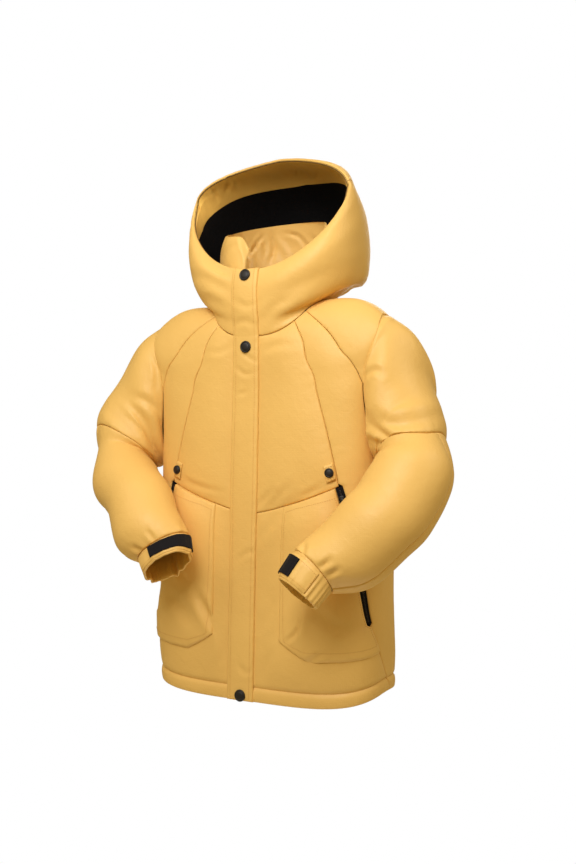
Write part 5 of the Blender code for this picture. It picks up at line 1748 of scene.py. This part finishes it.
def add_closure(left, right):
    """The storm flap with its stitches and snaps, and the tape of the front zip under it."""
    flap = storm_flap(left, right)
    swell(flap, FLAP_PUFF, reach=16)
    _, _, free_edge, sewn_edge = ends(flap)
    puckered(flap, [sewn_edge], 1.0, 83, 8.0, 6.5)
    puckered(flap, [free_edge], 0.4, 89, 6.0, 9.0)
    creased_as_seen(flap, "storm_flap")
    rolled(flap, ends(flap), 2.2, 2.2)
    wall("storm_flap", flap, [SHELL])
    last, top = flap["columns"][-1], flap["rows"][-1]
    sewn = [along_line(flap, [(0.05, column), (top - 0.05, column)]) for column in (1.5, last - 2.6)]
    sewn.append(along_line(flap, [(top - 0.22, 1.5), (top - 0.22, last - 2.6)]))
    stitches("flap_stitches", sewn, THREAD)
    for name, row in zip(("bottom", "middle", "top"), SNAP_ROWS):
        snap_on("snap_" + name, flap, row, SNAP_COLUMN, SNAP_RADIUS)
    wall("front_zip", front_tape(left, right), [TAPE])


def add_back():
    behind = back()
    finished("back", behind, ends(behind), 53, on_torso, TORSO_CREASES)
    wall("back", behind, [SHELL, LINING])
    stitches("hem_stitches_back", [along_line(behind, [(2.0, 0), (2.0, behind["columns"][-1])])], THREAD)


def add_hood():
    """The crown's gusset, the gathered facing with the cord along its rim, and the lining."""
    crown = hood_centre()
    finished("hood_centre", crown, ends(crown), 59, hood, HOOD_CREASES)
    wall("hood_centre", crown, [SHELL, LINING])
    facing = hood_layer(facing_edge)
    run = facing["columns"] * RIM_LENGTH
    gathers = noise_along(run, 15, 5) + 0.5 * noise_along(run, 7, 6)
    fade = np.clip(np.sin(np.pi * np.clip(facing["rows"], 0, 1)), 0, 1) ** 0.7
    facing["inner"] = facing["inner"] + 1.3 * (1 + gathers)[None] * fade[:, None]
    creased_as_seen(facing, "hood_facing", face="inner")
    # The facing's colour is lighter than the shell's as painted light for the inside of the hood.
    wall("hood_facing", facing, [FACING_PAINTED_LIGHT])
    edge = facing["points"][-1] - facing["normals"][-1] * (facing["inner"][-1] + 0.3)[:, None]
    tube("rim_piping", edge + (0, 0, 0.4), 0.8, PIPING)
    lining = hood_layer(lambda angle: np.full(angle.shape, LINING_LOW), facing_edge)
    wall("hood_lining", lining, [LINING])


def add_collar():
    """The collar inside the hood, with its upper edge leaning in and its creases drawn through both faces."""
    collar = inner_collar()
    curl = np.clip((collar["rows"] / collar["rows"][-1] - 0.62) / 0.38, 0, 1) ** 2
    collar["points"] = collar["points"] - collar["normals"] * (COLLAR_CURL * curl)[:, None, None]
    uneven = 1.2 * noise(collar["points"], 26, 7)
    collar["outer"] = collar["outer"] + uneven
    collar["inner"] = collar["inner"] - uneven
    creased_as_seen(collar, "inner_collar")
    before = collar["inner"].copy()
    creased_as_seen(collar, "inner_collar", face="inner")
    collar["outer"] = collar["outer"] - (collar["inner"] - before)
    rolled(collar, ends(collar), 2.4, 1.4)
    kept_thick(collar)
    wall("inner_collar", collar, [SHELL])


def main():
    left = add_front("L", dict, FLAP_LEFT)
    right = add_front("R", mirrored, -FLAP_RIGHT)
    add_closure(left, right)
    add_back()
    add_hood()
    add_collar()
    add_arm("L", dict, LEFT_ARM, LEFT_CREASES)
    add_arm("R", mirrored, RIGHT_ARM, RIGHT_CREASES)
    scene = bpy.context.scene
    add_camera(scene)
    add_lights(scene)
    add_floor(scene)


main()
